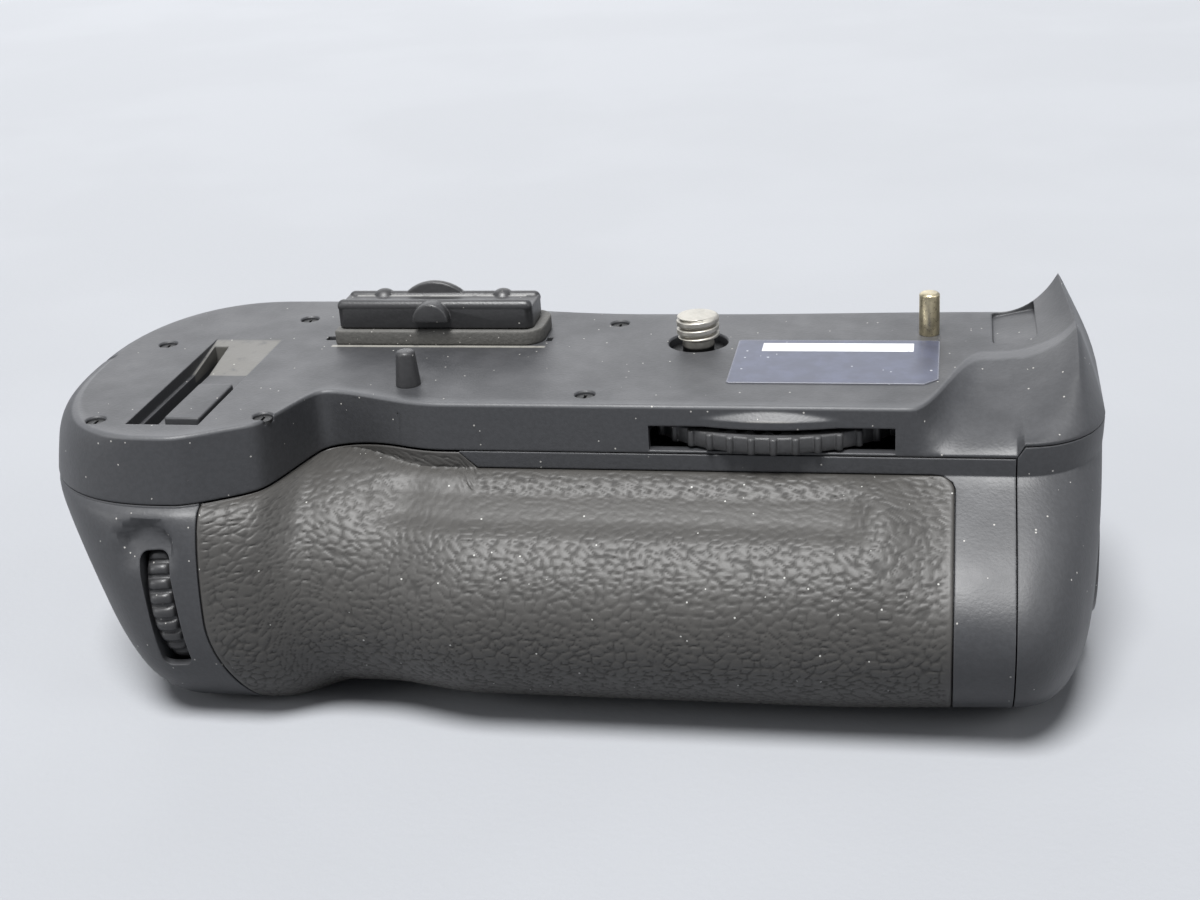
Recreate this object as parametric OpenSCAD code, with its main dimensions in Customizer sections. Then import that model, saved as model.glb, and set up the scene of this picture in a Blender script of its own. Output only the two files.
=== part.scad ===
// Camera battery grip, in millimetres.
// The origin is on the camera screw's axis in the plane of the top plate.
// +X runs along the body to the battery door, -Y is the front with the hand grip, +Z is up to the camera.

/* [Body] */
// From the screw's axis to the round left end of the flat top
left_reach = 89.8; // [89:0.2:91]
// How far the rounded shoulder of the left end stands outside the flat top
end_shoulder = 4.6; // [4:0.1:5]
// Height of the left end's shoulder
end_shoulder_h = 8.5; // [7:0.5:9]
// From the screw's axis to the face of the battery door
right_reach = 58.1; // [57.8:0.1:59]
// From the screw's axis to the straight front wall
plate_front = 26.7; // [26:0.1:27.4]
// From the screw's axis to where the flat top ends at the back
plate_back = 11.7; // [11.5:0.1:13]
// How far the rounded rear shoulder stands behind the flat top
shoulder_depth = 5.6; // [5.4:0.1:6.4]
// Height of the rounded rear shoulder
shoulder_height = 5; // [4:0.1:5.6]
// From the screw's axis to the widest place of the left bulge
bulge_x = 70; // [69.5:0.1:71]
// From the screw's axis to the front of the left bulge
bulge_front = 39.8; // [39:0.1:41]
// From the screw's axis to the back of the left bulge's flat top
bulge_back = 18; // [17.5:0.1:19]
// From the screw's axis to the waist of the front edge beside the bulge
waist_front = 21.2; // [20.6:0.1:22]
// Foremost reach of the hand grip
grip_front = 44.4; // [43.8:0.1:45.5]
// Rearmost reach of the thumb bulge
grip_back = 34.6; // [34.2:0.1:35.4]
// Rearmost reach of the body behind the battery chamber
chamber_back = 28; // [27.5:0.1:29]
// Slant of the left end below the seam, in degrees
end_slant = 23; // [21:0.5:24]
// How far the left end swells between its shoulder and the seam
end_draft = 0.9; // [0.4:0.1:1]
// Radius of the rounding under the left end
bottom_round = 8; // [7:0.5:9]
// How far the battery door's face leans in towards its foot
door_draft = 0.7; // [0.4:0.1:1]
// How far the grip's front is drawn in between the left bulge and the grip
valley = 3.2; // [2:0.1:4]

/* [Seam] */
// Depth of the seam round the left bulge
seam_left = 9.9; // [9.7:0.1:10.2]
// Depth of the seam along the straight front wall
seam_mid = 7; // [6.9:0.05:7.2]
// Depth of the seam over the battery door
seam_door = 5.3; // [5.2:0.1:5.6]
// Width of the visible seams
seam_gap = 0.2; // [0.1:0.05:0.3]
// Thickness of the top plate
plate_t = 2; // [1.8:0.1:2.2]
// Thickness of the top casing's walls
wall = 2; // [1.6:0.1:2.2]

/* [Lip at the right end] */
// From the screw's axis to where the lip begins to curl up
lip_start = 43; // [42.6:0.1:43.4]
// From the screw's axis to the lip's ridge
lip_ridge = 54.4; // [54:0.1:55]
// Height of the ridge at its front end
lip_front_h = 4.9; // [4.5:0.1:5.4]
// Height of the ridge at its rear tip
lip_tip_h = 6.7; // [6.2:0.1:7.2]
// From the screw's axis to the lip's front edge
lip_front = 5; // [4.6:0.1:5.4]
// How far the rear tip stands back along the body
lip_rake = 1.8; // [1.4:0.1:2.2]
// Depth of the sunken panel in the lip
lip_panel_depth = 0.7; // [0.5:0.1:0.9]

/* [Rubber covers] */
// Thickness of the rubber covers
rubber_t = 1.2; // [1:0.1:1.4]
// Depth of the front cover's top edge below the plate
rubber_top = 9.5; // [9.2:0.1:9.8]
// From the screw's axis to the front cover's left edge
rubber_left = 65.2; // [65:0.1:66]
// From the screw's axis to the front cover's right edge
rubber_right = 38; // [37:0.5:39.5]
// Corner radius of the front cover
rubber_corner = 3; // [2.5:0.1:3.5]
// From the screw's axis to the thumb cover's outer edge
thumb_left = 47; // [46:0.5:48]
// From the screw's axis to the thumb cover's inner edge
thumb_right = 20; // [18:0.5:22]
// Clearance round the covers in their pockets
cover_gap = 0.06; // [0.04:0.01:0.1]

/* [Battery chamber and tray] */
// From the screw's axis to the plane of the door's seam
door_x = 46; // [45.7:0.1:46.3]
// From the screw's axis to the chamber's closed end
chamber_end = 66; // [65.6:0.1:66.4]
// Width of the chamber
chamber_w = 34; // [33.8:0.1:34.4]
// Height of the chamber
chamber_h = 31; // [30.8:0.1:31.4]
// Thickness of the floor under the chamber
floor_t = 2; // [1.9:0.1:2.2]
// Clearance between the wheel's drive and the chamber's roof
drive_room = 2.3; // [2.2:0.1:3]
// From the screw's axis forward to the chamber's axis
chamber_y = 9; // [8.8:0.1:9.2]
// Running clearance of the tray in the chamber
tray_gap = 0.3; // [0.25:0.05:0.4]
// Diameter of one battery cell
cell_d = 14.5; // [14.3:0.1:14.6]
// Thickness of the tray's web between the two layers of cells
web_t = 1.2; // [1:0.1:1.3]

/* [Latch] */
// Radius of the latch knob
knob_r = 11; // [10:0.5:11.5]
// Radius of the latch's shaft
latch_shaft_r = 3; // [2.6:0.1:3.2]
// Half length of the latch's cross bar
bar_reach = 16.4; // [16.2:0.1:16.5]
// Thickness of the cross bar
bar_t = 2; // [1.8:0.1:2.2]

/* [Camera screw and wheel] */
// Radius of the camera screw's thread
screw_r = 3.175; // [3.1:0.025:3.3]
// Height of the screw above the plate
screw_h = 4.3; // [4:0.1:4.8]
// Radius of the undercut neck
neck_r = 2.35; // [2.2:0.05:2.5]
// Height of the undercut neck above the plate
neck_h = 0.7; // [0.5:0.1:0.9]
// Radius of the plate's hole round the screw
screw_hole_r = 4.4; // [4.3:0.1:4.8]
// Radius of the screw's journal
journal_r = 2.5; // [2.4:0.05:2.6]
// Sideways place of the attachment wheel's centre
wheel_x = 12.9; // [12.7:0.05:13.1]
// Outer radius of the attachment wheel
wheel_r = 22.2; // [22:0.05:22.4]
// Depth of the wheel's upper face below the plate
wheel_top = 3.8; // [3.7:0.05:3.9]
// Thickness of the attachment wheel
wheel_t = 2.4; // [2.2:0.05:2.5]
// Number of ribs round the wheel
wheel_ribs = 45; // [40:1:50]
// Module of the gear teeth
gear_module = 0.8; // [0.78:0.01:0.82]
// Number of teeth inside the attachment wheel
ring_teeth = 48; // [48:12:48]
// Number of teeth on the screw's pinion
pinion_teeth = 12; // [12:1:12]
// Running clearance of shafts in their bearings
run_gap = 0.05; // [0.03:0.01:0.08]
// Width of the wheel's slot in the front wall
slot_w = 33.7; // [33:0.1:34.4]

/* [Pins, connector and label] */
// Radius of the brass alignment pin
pin_r = 1.5; // [1.4:0.05:1.6]
// Height of the brass alignment pin
pin_h = 6.4; // [6:0.1:7]
// Place of the alignment pin
pin_at = [33.9, 4]; // [0:0.1:60]
// Height of the tapered guide post
post_h = 5.2; // [4.8:0.1:5.6]
// Radius of the guide post at its foot
post_r = 1.83; // [1.7:0.05:2]
// Length of the connector's collar
collar_l = 32.5; // [32:0.1:33]
// Width of the connector's collar
collar_w = 10.6; // [10.4:0.1:11]
// Height of the connector's collar
collar_h = 2.3; // [2.1:0.1:2.5]
// Height of the contact cap above the plate
cap_h = 6.8; // [6.6:0.1:7]
// Wall of the contact cap
cap_wall = 1.2; // [1:0.1:1.3]
// Length of the label
label_l = 29.4; // [28.5:0.1:30]
// Width of the label
label_w = 17.7; // [17:0.1:18]
// Thickness of the label
label_t = 0.15; // [0.1:0.05:0.2]

/* [Controls] */
// Radius of the two command dials
dial_r = 12; // [11.8:0.1:12.1]
// Thickness of the command dials
dial_t = 3.6; // [3.4:0.1:3.8]
// Number of ridges round a command dial
dial_ridges = 34; // [24:1:40]
// Radius of the dials' shafts
dial_shaft_r = 1.2; // [1:0.05:1.3]
// Radius of the shutter button
button_r = 5; // [4.6:0.1:5.2]
// Outer radius of the lock collar
collar_r = 8.8; // [8.4:0.1:9]
// Radius of the focus button
focus_r = 4; // [3.6:0.1:4.2]
// Radius of the multi selector's pad
selector_r = 7; // [6.5:0.1:7.2]
// Radius of the tripod socket's thread
socket_r = 3.175; // [3.1:0.025:3.3]
// Depth of the tripod socket
socket_depth = 6; // [5.5:0.1:6.5]

/* [Hidden] */
$fn = 48;
e = 0.01;

// Stack of the attachment wheel's drive under the plate, and the body's height that follows
drive_plate_top = wheel_top + wheel_t + 0.1;
drive_plate_t = 1.5;
drive_head_h = 0.9;
body_height = drive_plate_top + drive_plate_t + drive_head_h + drive_room + chamber_h + floor_t;

charcoal = [0.16, 0.16, 0.165];
soft_black = [0.2, 0.195, 0.19];
nickel = [0.75, 0.74, 0.7];
brass = [0.72, 0.62, 0.38];
steel = [0.6, 0.6, 0.62];
slate = [0.24, 0.26, 0.32];
green = [0.1, 0.32, 0.2];

// Curves that every piece of the body shares

function clamp(u) = min(1, max(0, u));
function mix(a, b, u) = a + (b - a) * u;
function ease(a, b, x) = let (u = clamp((x - a) / (b - a))) u * u * (3 - 2 * u);
function ease5(a, b, x) =
    let (u = clamp((x - a) / (b - a))) u * u * u * (u * (6 * u - 15) + 10);
function arc_in(u) = 1 - sqrt(max(0, 1 - clamp(u) * clamp(u)));

// Places along the body, from the waist beside the bulge to the right end
waist_start = bulge_x - 8;
waist_end = bulge_x - 18;
plate_run = bulge_x - 37;
right_curve = lip_start - 12;
bulge_mid = -8;
front_power = 2.45;
back_power = 2.25;

// Depth of the seam between the two casings
function seam(x) = seam_left
    - (seam_left - seam_mid) * ease(-bulge_x + 9, -bulge_x + 30, x)
    - (seam_mid - seam_door) * clamp(x - door_x);

// Front edge of the flat top, as a distance in front of the screw's axis
function waist_fall(x) = (bulge_front - waist_front)
    * (0.23 * ease(-bulge_x + 1, -waist_start + 4.5, x) + 0.77 * ease(-waist_start + 3.7, -waist_end, x));
function edge_front(x) = bulge_front - waist_fall(x)
    + (plate_front - waist_front) * ease(-waist_end - 1.5, -plate_run, x)
    - (plate_front - lip_front) * ease5(right_curve, lip_start - 0.5, x);
// Front wall at the seam
function wall_front(x) = bulge_front - waist_fall(x)
    + (plate_front - waist_front) * ease(-waist_end - 1.5, -plate_run, x)
    + end_draft * (1 - ease(-waist_start, -waist_end, x));
// Rear edge of the flat top and the rear wall at the seam
function edge_back(x) = bulge_back - (bulge_back - plate_back) * ease(-bulge_x + 8, -bulge_x + 60, x)
    + 1.2 * ease(0, lip_start, x);
function wall_back(x) = edge_back(x) + shoulder_depth - 1.2 * ease(lip_start, door_x, x);

// Left end at each height: it swells to the seam, then slants in and rounds under
function height_over_base(z) = z + body_height;
function end_left(z) = -left_reach - end_shoulder * sqrt(1 - pow(1 - clamp(-z / end_shoulder_h), 2))
    - end_draft * ease(end_shoulder_h - 3, seam_left + 3, -z)
    + max(0, -z - seam_left) * tan(end_slant)
    + bottom_round * arc_in(1 - height_over_base(z) / bottom_round);

// Hand grip at the front: a hollow for the fingers under the seam, a round nose, a round underside
nose_z = -27;
function nose(x) = grip_front - 0.2 - valley * ease(-bulge_x + 8, -bulge_x + 20, x)
    + (valley + 0.2) * ease(-bulge_x + 26, -bulge_x + 43, x);
function under_round(x) = 14.5 + 5.5 * ease(-bulge_x + 6, -bulge_x + 20, x)
    + 2 * ease(-bulge_x + 26, -bulge_x + 45, x) + 5 * ease(20, door_x + 4, x);
function hollow(x) = ease(-bulge_x + 18, -bulge_x + 34, x) * (1 - ease(18, rubber_right, x));
// Height at which the grip begins to swell out under the straight wall
function ledge(x) = -mix(seam(x) + 0.45, rubber_top + 0.15, ease(-bulge_x + 18, -bulge_x + 34, x));
function grip_y(x, z) = let (
    top = wall_front(x),
    u = clamp((z - nose_z) / (ledge(x) - nose_z)),
    v = clamp((nose_z - z) / (body_height + nose_z + 0.2)))
    z > nose_z
        ? -top - (nose(x) - top) * pow(max(0, 1 - u * u), mix(0.5, 0.8, hollow(x)))
        : -nose(x) + under_round(x) * arc_in(v);

// Back of the body: a thumb bulge near the left end, then the wall behind the chamber
back_z = -24;
back_round = 10;
function back_y(x, z) = let (
    rear = mix(grip_back, chamber_back, ease(-bulge_x + 24, -12, x)),
    s = -seam(x))
    z > back_z
        ? mix(wall_back(x), rear, ease(-s, -back_z, -z))
        : rear - back_round * arc_in((back_z - z) / (body_height + back_z + 0.5));

// Rounded right end of the door and of the lip above it: how far the front and the back draw in
end_bend = 2.2;
function end_curve(x) = 1 - pow(max(0, 1 - pow(clamp((x - door_x) / (right_reach + 0.2 - door_x)),
    end_bend)), 1 / end_bend);
function front_inset(x, z) = end_curve(x) * mix(15, 32, ease(6, 27, -z));
function back_inset(x) = end_curve(x) * 14;
function door_lean(x, z) = door_draft * clamp((x - door_x) / (right_reach - door_x))
    * clamp((-z - seam_door) / 26);
function end_lift(x, z) = 6.5 * arc_in((x - right_reach + 8) / 8) * clamp((-z - 24) / 20);

// Stations along the body: below zero an angle round the left end, above it a distance from the bulge
function at(x) = x + bulge_x;
function is_end(p) = p < 0;
function end_width(p, n) = is_end(p) ? pow(max(0, 1 - pow(sin(-p), n)), 1 / n) : 1;
function base_x(p) = is_end(p) ? -bulge_x : p - bulge_x;
function station_x(p, z) = is_end(p) ? -bulge_x + (end_left(z) + bulge_x) * sin(-p) : p - bulge_x;
function toward_mid(p, y) = mix(bulge_mid, y, end_width(p, y < bulge_mid ? front_power : back_power));

end_angles = [-89, -82, -73, -62, -49, -34, -18];

// A closed loft through rings of equal length, with each end closed across the ring
function ring_faces(rows, ring) = [for (i = [0:rows - 2], j = [0:ring - 1])
    let (a = i * ring + j, b = i * ring + (j + 1) % ring, c = a + ring, d = b + ring)
    each [[a, c, b], [b, c, d]]];
function cap_faces(first, ring, flip) = [for (k = [0:ring / 2 - 2])
    let (a = first + k, b = first + k + 1, c = first + ring - 1 - k, d = first + ring - 2 - k)
    each (flip ? [[a, c, b], [b, c, d]] : [[a, b, c], [b, d, c]])];
module loft(rings) {
    ring = len(rings[0]);
    rows = len(rings);
    polyhedron(
        points = [for (r = rings) each r],
        faces = concat(ring_faces(rows, ring), cap_faces(0, ring, false),
            cap_faces((rows - 1) * ring, ring, true)),
        convexity = 8);
}

// A sheet with thickness: its outer and inner grids share one boundary
module sheet(outer, inner) {
    rows = len(outer);
    cols = len(outer[0]);
    loft([for (i = [0:rows - 1]) concat(outer[i], [for (k = [cols - 1:-1:0]) inner[i][k]])]);
}

// Shape of the grip casing

// Rows down the front and the back, as depths below the plate where the seam is shallowest
cover_foot = 43;
front_rows = [seam_mid, rubber_top - cover_gap, rubber_top + cover_gap, 9.72, 10.1, 10.7, 11.6, 12.8, 14.4,
    16.6, 19.5, 23, 27, 31, 34.8, 38.2, 41, cover_foot - cover_gap, cover_foot + cover_gap];
row_mix = 14.4;
cover_last = len(front_rows) - 2;
thumb_top = 13;
thumb_first = 5;
thumb_last = 14;
thumb_foot = 37;
back_rows = [seam_mid, 8.2, 9.6, 11.2, thumb_top - cover_gap, thumb_top + cover_gap, 14.4, 16.4, 18.8,
    21.4, 24, 27, 30, 33.5, thumb_foot - cover_gap, thumb_foot + cover_gap, 39.5, 41.6, 43.2];
last_row = len(front_rows);
cover_step = -plate_run + 2;

function cover_edge(x) = mix(seam(x) + seam_gap / 2 + 2 * cover_gap, rubber_top,
    clamp((x - cover_step) / 2.5));
function front_z(x, k) =
    k == last_row ? -body_height
    : k == 0 ? -seam(x) - seam_gap / 2
    : front_rows[k] > row_mix ? -front_rows[k] * body_height / 44
    : k == 1 ? -cover_edge(x) + cover_gap
    : k == 2 ? -cover_edge(x) - cover_gap
    : mix(min(ledge(x), -cover_edge(x) - cover_gap - 0.07), -row_mix,
        (front_rows[k] - front_rows[3]) / (row_mix - front_rows[3]));
function back_z_at(x, k) =
    k == last_row ? -body_height
    : k == 0 ? -seam(x) - seam_gap / 2
    : back_rows[k] < thumb_top
        ? -mix(seam(x) + seam_gap / 2, thumb_top, (back_rows[k] - seam_mid) / (thumb_top - seam_mid))
    : -back_rows[k];

// The front cover's left edge bends away at the foot, and its upper right corner is round
function edge_bend(x, z) =
    let (w = (1 - ease(-rubber_left, -34, x)) * ease(-bulge_x, -rubber_left, x),
        c = ease(rubber_right - 8, rubber_right, x) * (1 - ease(rubber_right, rubber_right + 6, x)),
        d = (-z - rubber_top) * 2)
    w * 5 * ease(26, 48, -z) - c * rubber_corner * arc_in(1 - d / rubber_corner);

// Direction in which the front cover's pocket is sunk, from level at the nose to straight up below
function sink_angle(z) = z > nose_z ? -50 * pow((z - nose_z) / 20, 2)
    : 80 * pow((nose_z - z) / (body_height + nose_z), 2);

function front_pt(p, k, sink) = let (
    x0 = station_x(p, -20),
    z = front_z(base_x(p), k),
    x = station_x(p, z) + (is_end(p) ? 0 : edge_bend(x0, z)),
    y = toward_mid(p, grip_y(base_x(p), z) + (k == last_row ? 2 : 0)),
    a = sink_angle(z))
    [x - door_lean(x, z), y + front_inset(x, z) + sink * cos(a), z + sink * sin(a) + end_lift(x, z)];
function back_pt(p, k, sink) = let (
    z = back_z_at(base_x(p), k),
    x = station_x(p, z),
    y = toward_mid(p, back_y(base_x(p), z) - (k == last_row ? 1 : 0)))
    [x - door_lean(x, z), y - back_inset(x) - sink, z + end_lift(x, z)];

function in_front_cover(p, k) = let (x = base_x(p))
    !is_end(p) && x > -rubber_left && x < rubber_right
    && k <= cover_last && (k > 1 || x < cover_step + e);
function in_thumb_cover(p, k) = let (x = base_x(p))
    !is_end(p) && x > -thumb_left && x < -thumb_right && k >= thumb_first && k <= thumb_last;
function casing_ring(p) = concat(
    [for (k = [0:last_row]) front_pt(p, k, in_front_cover(p, k) ? rubber_t : 0)],
    [for (k = [last_row:-1:0]) back_pt(p, k, in_thumb_cover(p, k) ? rubber_t : 0)]);

function span(a, b, n) = [for (i = [0:n]) mix(a, b, i / n)];
function pair(x) = [x - cover_gap, x + cover_gap];
cover_stations = concat(
    [-rubber_left + 3], span(-waist_start + 0.5, -waist_end, 8), [-thumb_left - 1.1],
    pair(-thumb_left), [-43, -39.5, -36, -33.5], pair(cover_step), [cover_step + 2.5, -25],
    pair(-thumb_right), [-14, -6, 4, 13, 21, 27, 31, 34.5]);
casing_stations = concat(end_angles, [for (x = concat([-bulge_x], pair(-rubber_left), cover_stations,
    [rubber_right - 1.2], pair(rubber_right), [42, door_x - seam_gap / 2])) at(x)]);

module casing_form() {
    loft([for (p = casing_stations) casing_ring(p)]);
}

// A frame on the slanted left end for the shutter button, with its +Z pointing out of the body
shutter_at = [-89, -13, -24];
module at_shutter() {
    translate(shutter_at) rotate([0, 0, 7]) rotate([0, -90 - end_slant, 0]) children();
}
// Frames for the dials, with X along the dial's shaft
front_dial_at = [-71, -32.5, -24.9];
front_dial_tilt = 4.5;
rear_dial_at = [-73, 22.6, -25];
module at_front_dial() {
    translate(front_dial_at) rotate([0, -front_dial_tilt, 0]) children();
}
module at_rear_dial() {
    translate(rear_dial_at) children();
}
// Frames on the back for the focus button and the multi selector, with +Z pointing out of the body
focus_at = [-62, 30.6, -18.2];
focus_tilt = 48;
selector_at = [-56, 33.8, -31];
module facing_back(place, tilt = 0) {
    translate(place) rotate([-90 + tilt, 0, 0]) children();
}

chamber_z = -body_height + floor_t + chamber_h / 2;
latch_at = [door_x, -chamber_y, chamber_z];
pocket_floor = 9.3;
// The well under the top plate: its reach to the left, to the right and to the back
well_left = 58;
well_right = 35.5;
well_back = 12.2;
well_mid = 40;
dial_gap = 0.5;
slot_len = 17.8;
dial_slot_w = dial_t + 0.9;
slot_corner = 1.4;

module round_box(size, r) {
    linear_extrude(size[2]) union() {
        translate([r, 0]) square([size[0] - 2 * r, size[1]]);
        translate([0, r]) square([size[0], size[1] - 2 * r]);
        for (x = [r, size[0] - r], y = [r, size[1] - r]) translate([x, y]) circle(r);
    }
}

module chamber_space(extra) {
    translate([-chamber_end, -chamber_y - chamber_w / 2, chamber_z - chamber_h / 2])
        cube([chamber_end + door_x + extra, chamber_w, chamber_h]);
}

module dial_pocket(reach, side) {
    rotate([0, 90, 0]) translate([0, 0, -dial_slot_w / 2]) cylinder(r = dial_r + dial_gap, h = dial_slot_w);
    translate([-dial_slot_w / 2, side > 0 ? reach : 0, -slot_len / 2]) rotate([90, 0, 0])
        round_box([dial_slot_w, slot_len, reach], slot_corner);
    rotate([0, 90, 0]) translate([0, 0, -dial_t / 2 - 3]) cylinder(r = dial_shaft_r + seat_gap, h = dial_t + 6);
}

base_screw_places = [[-67, -25], [-67, 12], [-24, -20], [38, -18], [26, 14.5], [-30, 16]];
base_screw_r = 1.9;
socket_at = [0, 13.6];
socket_outer = 4.8;

module grip_casing() {
    color(charcoal) difference() {
        casing_form();
        chamber_space(e + 5);
        // Well under the top plate for the drive and the circuit board
        translate([-well_left, -waist_front + wall, -pocket_floor])
            cube([well_left + well_right - 0.5, well_back + waist_front - wall - 1, pocket_floor + 1]);
        translate([-well_mid, -plate_front + wall, -pocket_floor])
            cube([well_mid + well_right - 2.5, plate_front - waist_front + 5, pocket_floor + 1]);
        at_front_dial() dial_pocket(20, -1);
        at_rear_dial() dial_pocket(20, 1);
        // Crescent scoop over the front dial
        translate([front_dial_at[0] - 1.3, -42.5, front_dial_at[2] + 9]) rotate([60, 0, 0]) cylinder(r = 4.8, h = 8);
        at_shutter() {
            translate([0, 0, -2.6]) cylinder(r = collar_r + 0.35, h = 14);
            translate([0, 0, -14.2]) cylinder(r = 3.6, h = 13);
        }
        facing_back(focus_at, focus_tilt) {
            translate([0, 0, -2.2]) cylinder(r = focus_r + 0.3, h = 8);
            translate([0, 0, -7.4]) cylinder(r = 2.4, h = 8);
        }
        facing_back(selector_at) {
            translate([0, 0, -5.4]) cylinder(r = selector_r + 1.1, h = 12);
        }
        // Round groove in which the latch's bar turns behind the chamber's mouth
        translate([door_x - 4.6, -chamber_y, chamber_z]) rotate([0, 90, 0])
            cylinder(r = bar_reach + 0.35, h = bar_t + 0.8);
        translate([socket_at[0], socket_at[1], -body_height - e])
            cylinder(r = socket_outer + seat_gap, h = socket_depth + 0.6);
        for (s = base_screw_places) translate([s[0], s[1], -body_height - e])
            cylinder(r = base_screw_r + 0.1, h = 1.3);
        // Window for the chamber's terminals
        translate([-chamber_end - 2.4, -chamber_y - 10.1, chamber_z - 4.1]) cube([5, 20.2, 8.2]);
    }
}

// Rubber covers

module front_rubber() {
    xs = concat([-rubber_left + 2 * cover_gap], cover_stations, [rubber_right - 1.2,
        rubber_right - 2 * cover_gap]);
    outer = [for (x = xs) [for (k = [2:cover_last]) front_pt(at(x), k, 0)]];
    inner = [for (x = xs) [for (k = [2:cover_last]) front_pt(at(x), k, rubber_t - cover_gap)]];
    color(soft_black) sheet(outer, inner);
}

module thumb_rubber() {
    xs = concat([-thumb_left + 2 * cover_gap], [-43, -39.5, -36, -33.5, -30, -25],
        [-thumb_right - 2 * cover_gap]);
    outer = [for (x = xs) [for (k = [thumb_first:thumb_last]) back_pt(at(x), k, 0)]];
    inner = [for (x = xs) [for (k = [thumb_first:thumb_last]) back_pt(at(x), k, rubber_t - cover_gap)]];
    color(soft_black) sheet(inner, outer);
}

// Top casing: its ring runs up the front wall, across the flat top and down the rear shoulder

lip_run = lip_ridge - lip_start;
lip_back = 13.6;
// Height of the lip: an arc that grows steeper to the ridge, then the outer face down to the door
curl = 0.95;
function lip_rise(x) = x > lip_ridge ? 1
    : arc_in(curl * clamp((x - lip_start) / lip_run)) / arc_in(curl);
function outer_fall(x) = clamp((x - lip_ridge) / (right_reach - lip_ridge));
function lip_z(x, peak) = x > lip_ridge
    ? mix(peak, -seam_door + 0.6, pow(outer_fall(x), 1.15)) : peak * lip_rise(x);
function rake(x, v) = -lip_rake * v * ease(lip_start, lip_ridge, x) * (1 - ease(lip_ridge, right_reach, x));

wall_steps = [0, 0.2, 0.42, 0.64, 0.84, 1];
shoulder_steps = [0, 20, 38, 54, 70, 90];
function low_front(x) = seam(x) - 0.5;
// Front wall from the seam up to the edge: upright along the plate, a sloping shoulder at the right end
function top_front_pt(p, k) = let (
    x = station_x(p, -seam_left * (1 - wall_steps[max(0, k - 1)])),
    xs = is_end(p) ? -bulge_x : x,
    s = wall_steps[max(0, k - 1)],
    inset = front_inset(x, -seam_door),
    foot_y = -wall_front(xs) + inset,
    edge_y = -min(edge_front(xs), wall_front(xs) - inset - 0.3),
    slope = ease(right_curve, lip_start, x),
    foot_z = -low_front(x),
    edge_z = lip_z(x, lip_front_h),
    seam_z = -seam(xs) + seam_gap / 2)
    k == 0 ? [station_x(p, -seam_left), toward_mid(p, foot_y), seam_z]
    : [x + rake(x, 0), toward_mid(p, mix(foot_y, edge_y, mix(s, pow(s, 1.25), slope))),
        mix(mix(seam_z + 0.3, foot_z, slope), edge_z, mix(s, 1 - pow(1 - s, 1.8), slope))];
function top_back_pt(p, k) = let (
    a = shoulder_steps[min(top_ring_half, max(1, k)) - 1],
    drop = shoulder_height * (1 - cos(a)),
    x = station_x(p, -drop),
    xs = is_end(p) ? -bulge_x : x,
    inset = back_inset(x),
    edge_y = min(edge_back(xs), wall_back(xs) - inset - 1),
    peak = lip_z(x, lip_tip_h),
    lean = rake(x, 1),
    foot = -seam(xs) + seam_gap / 2,
    reach = wall_back(xs) - inset - edge_y)
    k == 0 ? [x + lean, toward_mid(p, edge_y), peak]
    : k <= len(shoulder_steps)
        ? [x + lean * cos(a), toward_mid(p, edge_y + reach * sin(a)),
            k == 1 ? peak - 0.02 : max(foot + 0.3, mix(peak, -shoulder_height, 1 - cos(a)))]
    : [station_x(p, -seam_left), toward_mid(p, edge_y + reach), foot];
top_ring_half = len(shoulder_steps);
function top_ring(p) = concat(
    [for (k = [top_ring_half:-1:0]) top_front_pt(p, k)],
    [for (k = [top_ring_half + 1:-1:2]) top_back_pt(p, k)], [top_back_pt(p, 0)]);

top_stations = concat(end_angles, [for (x = concat([-bulge_x, -66], span(-waist_start + 0.5, -waist_end, 9),
    [-47, -44, -41, -38, -35, -31, -25, -18, -6, 14], span(right_curve, lip_start, 9),
    [lip_start + 1.5, door_x, door_x + 1], span(door_x + 2.2, lip_ridge, 6),
    span(lip_ridge + 0.4, right_reach - 0.6, 5), [right_reach - 0.25, right_reach])) at(x)]);

wheel_y = -sqrt(pow(gear_module * (ring_teeth - pinion_teeth) / 2, 2) - wheel_x * wheel_x);
slot_x = wheel_x + 0.2;
slot_high = wheel_top - 0.85;
slot_low = wheel_top + wheel_t + 0.35;
plate_screw_places = [[-83.6, -2.1], [-81.5, -33.6], [-64.3, 10], [-57.4, -31.4],
    [-13.3, 8.3], [-13.2, -21.9]];
plate_screw_r = 1.4;
drive_posts = [[-15, -12], [-10.5, 2.2], [32.4, 9.2]];
drive_post_r = 2;
drive_screw_r = 0.8;
seat_gap = 0.03;
holder = [10.8, 35.4];
holder_at = [-76.4, -35];
holder_depth = 1.8;
collar_at = [-56.1, -2.1];
cap_at = [-55, -1.4];
cap_size = [30, 8];
block_size = [24, 4.8];
block_at = [cap_at[0] + (cap_size[0] - block_size[0]) / 2, cap_at[1] + (cap_size[1] - block_size[1]) / 2];

module brow() {
    brow_r = 60;
    translate([slot_x, -plate_front - 1.1 + brow_r, 0]) rotate_extrude($fn = 96)
        polygon([[0, -slot_high], [brow_r, -slot_high], [brow_r, -slot_high + 0.5],
            [brow_r - 1.9, -0.6], [0, -0.6]]);
}

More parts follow.
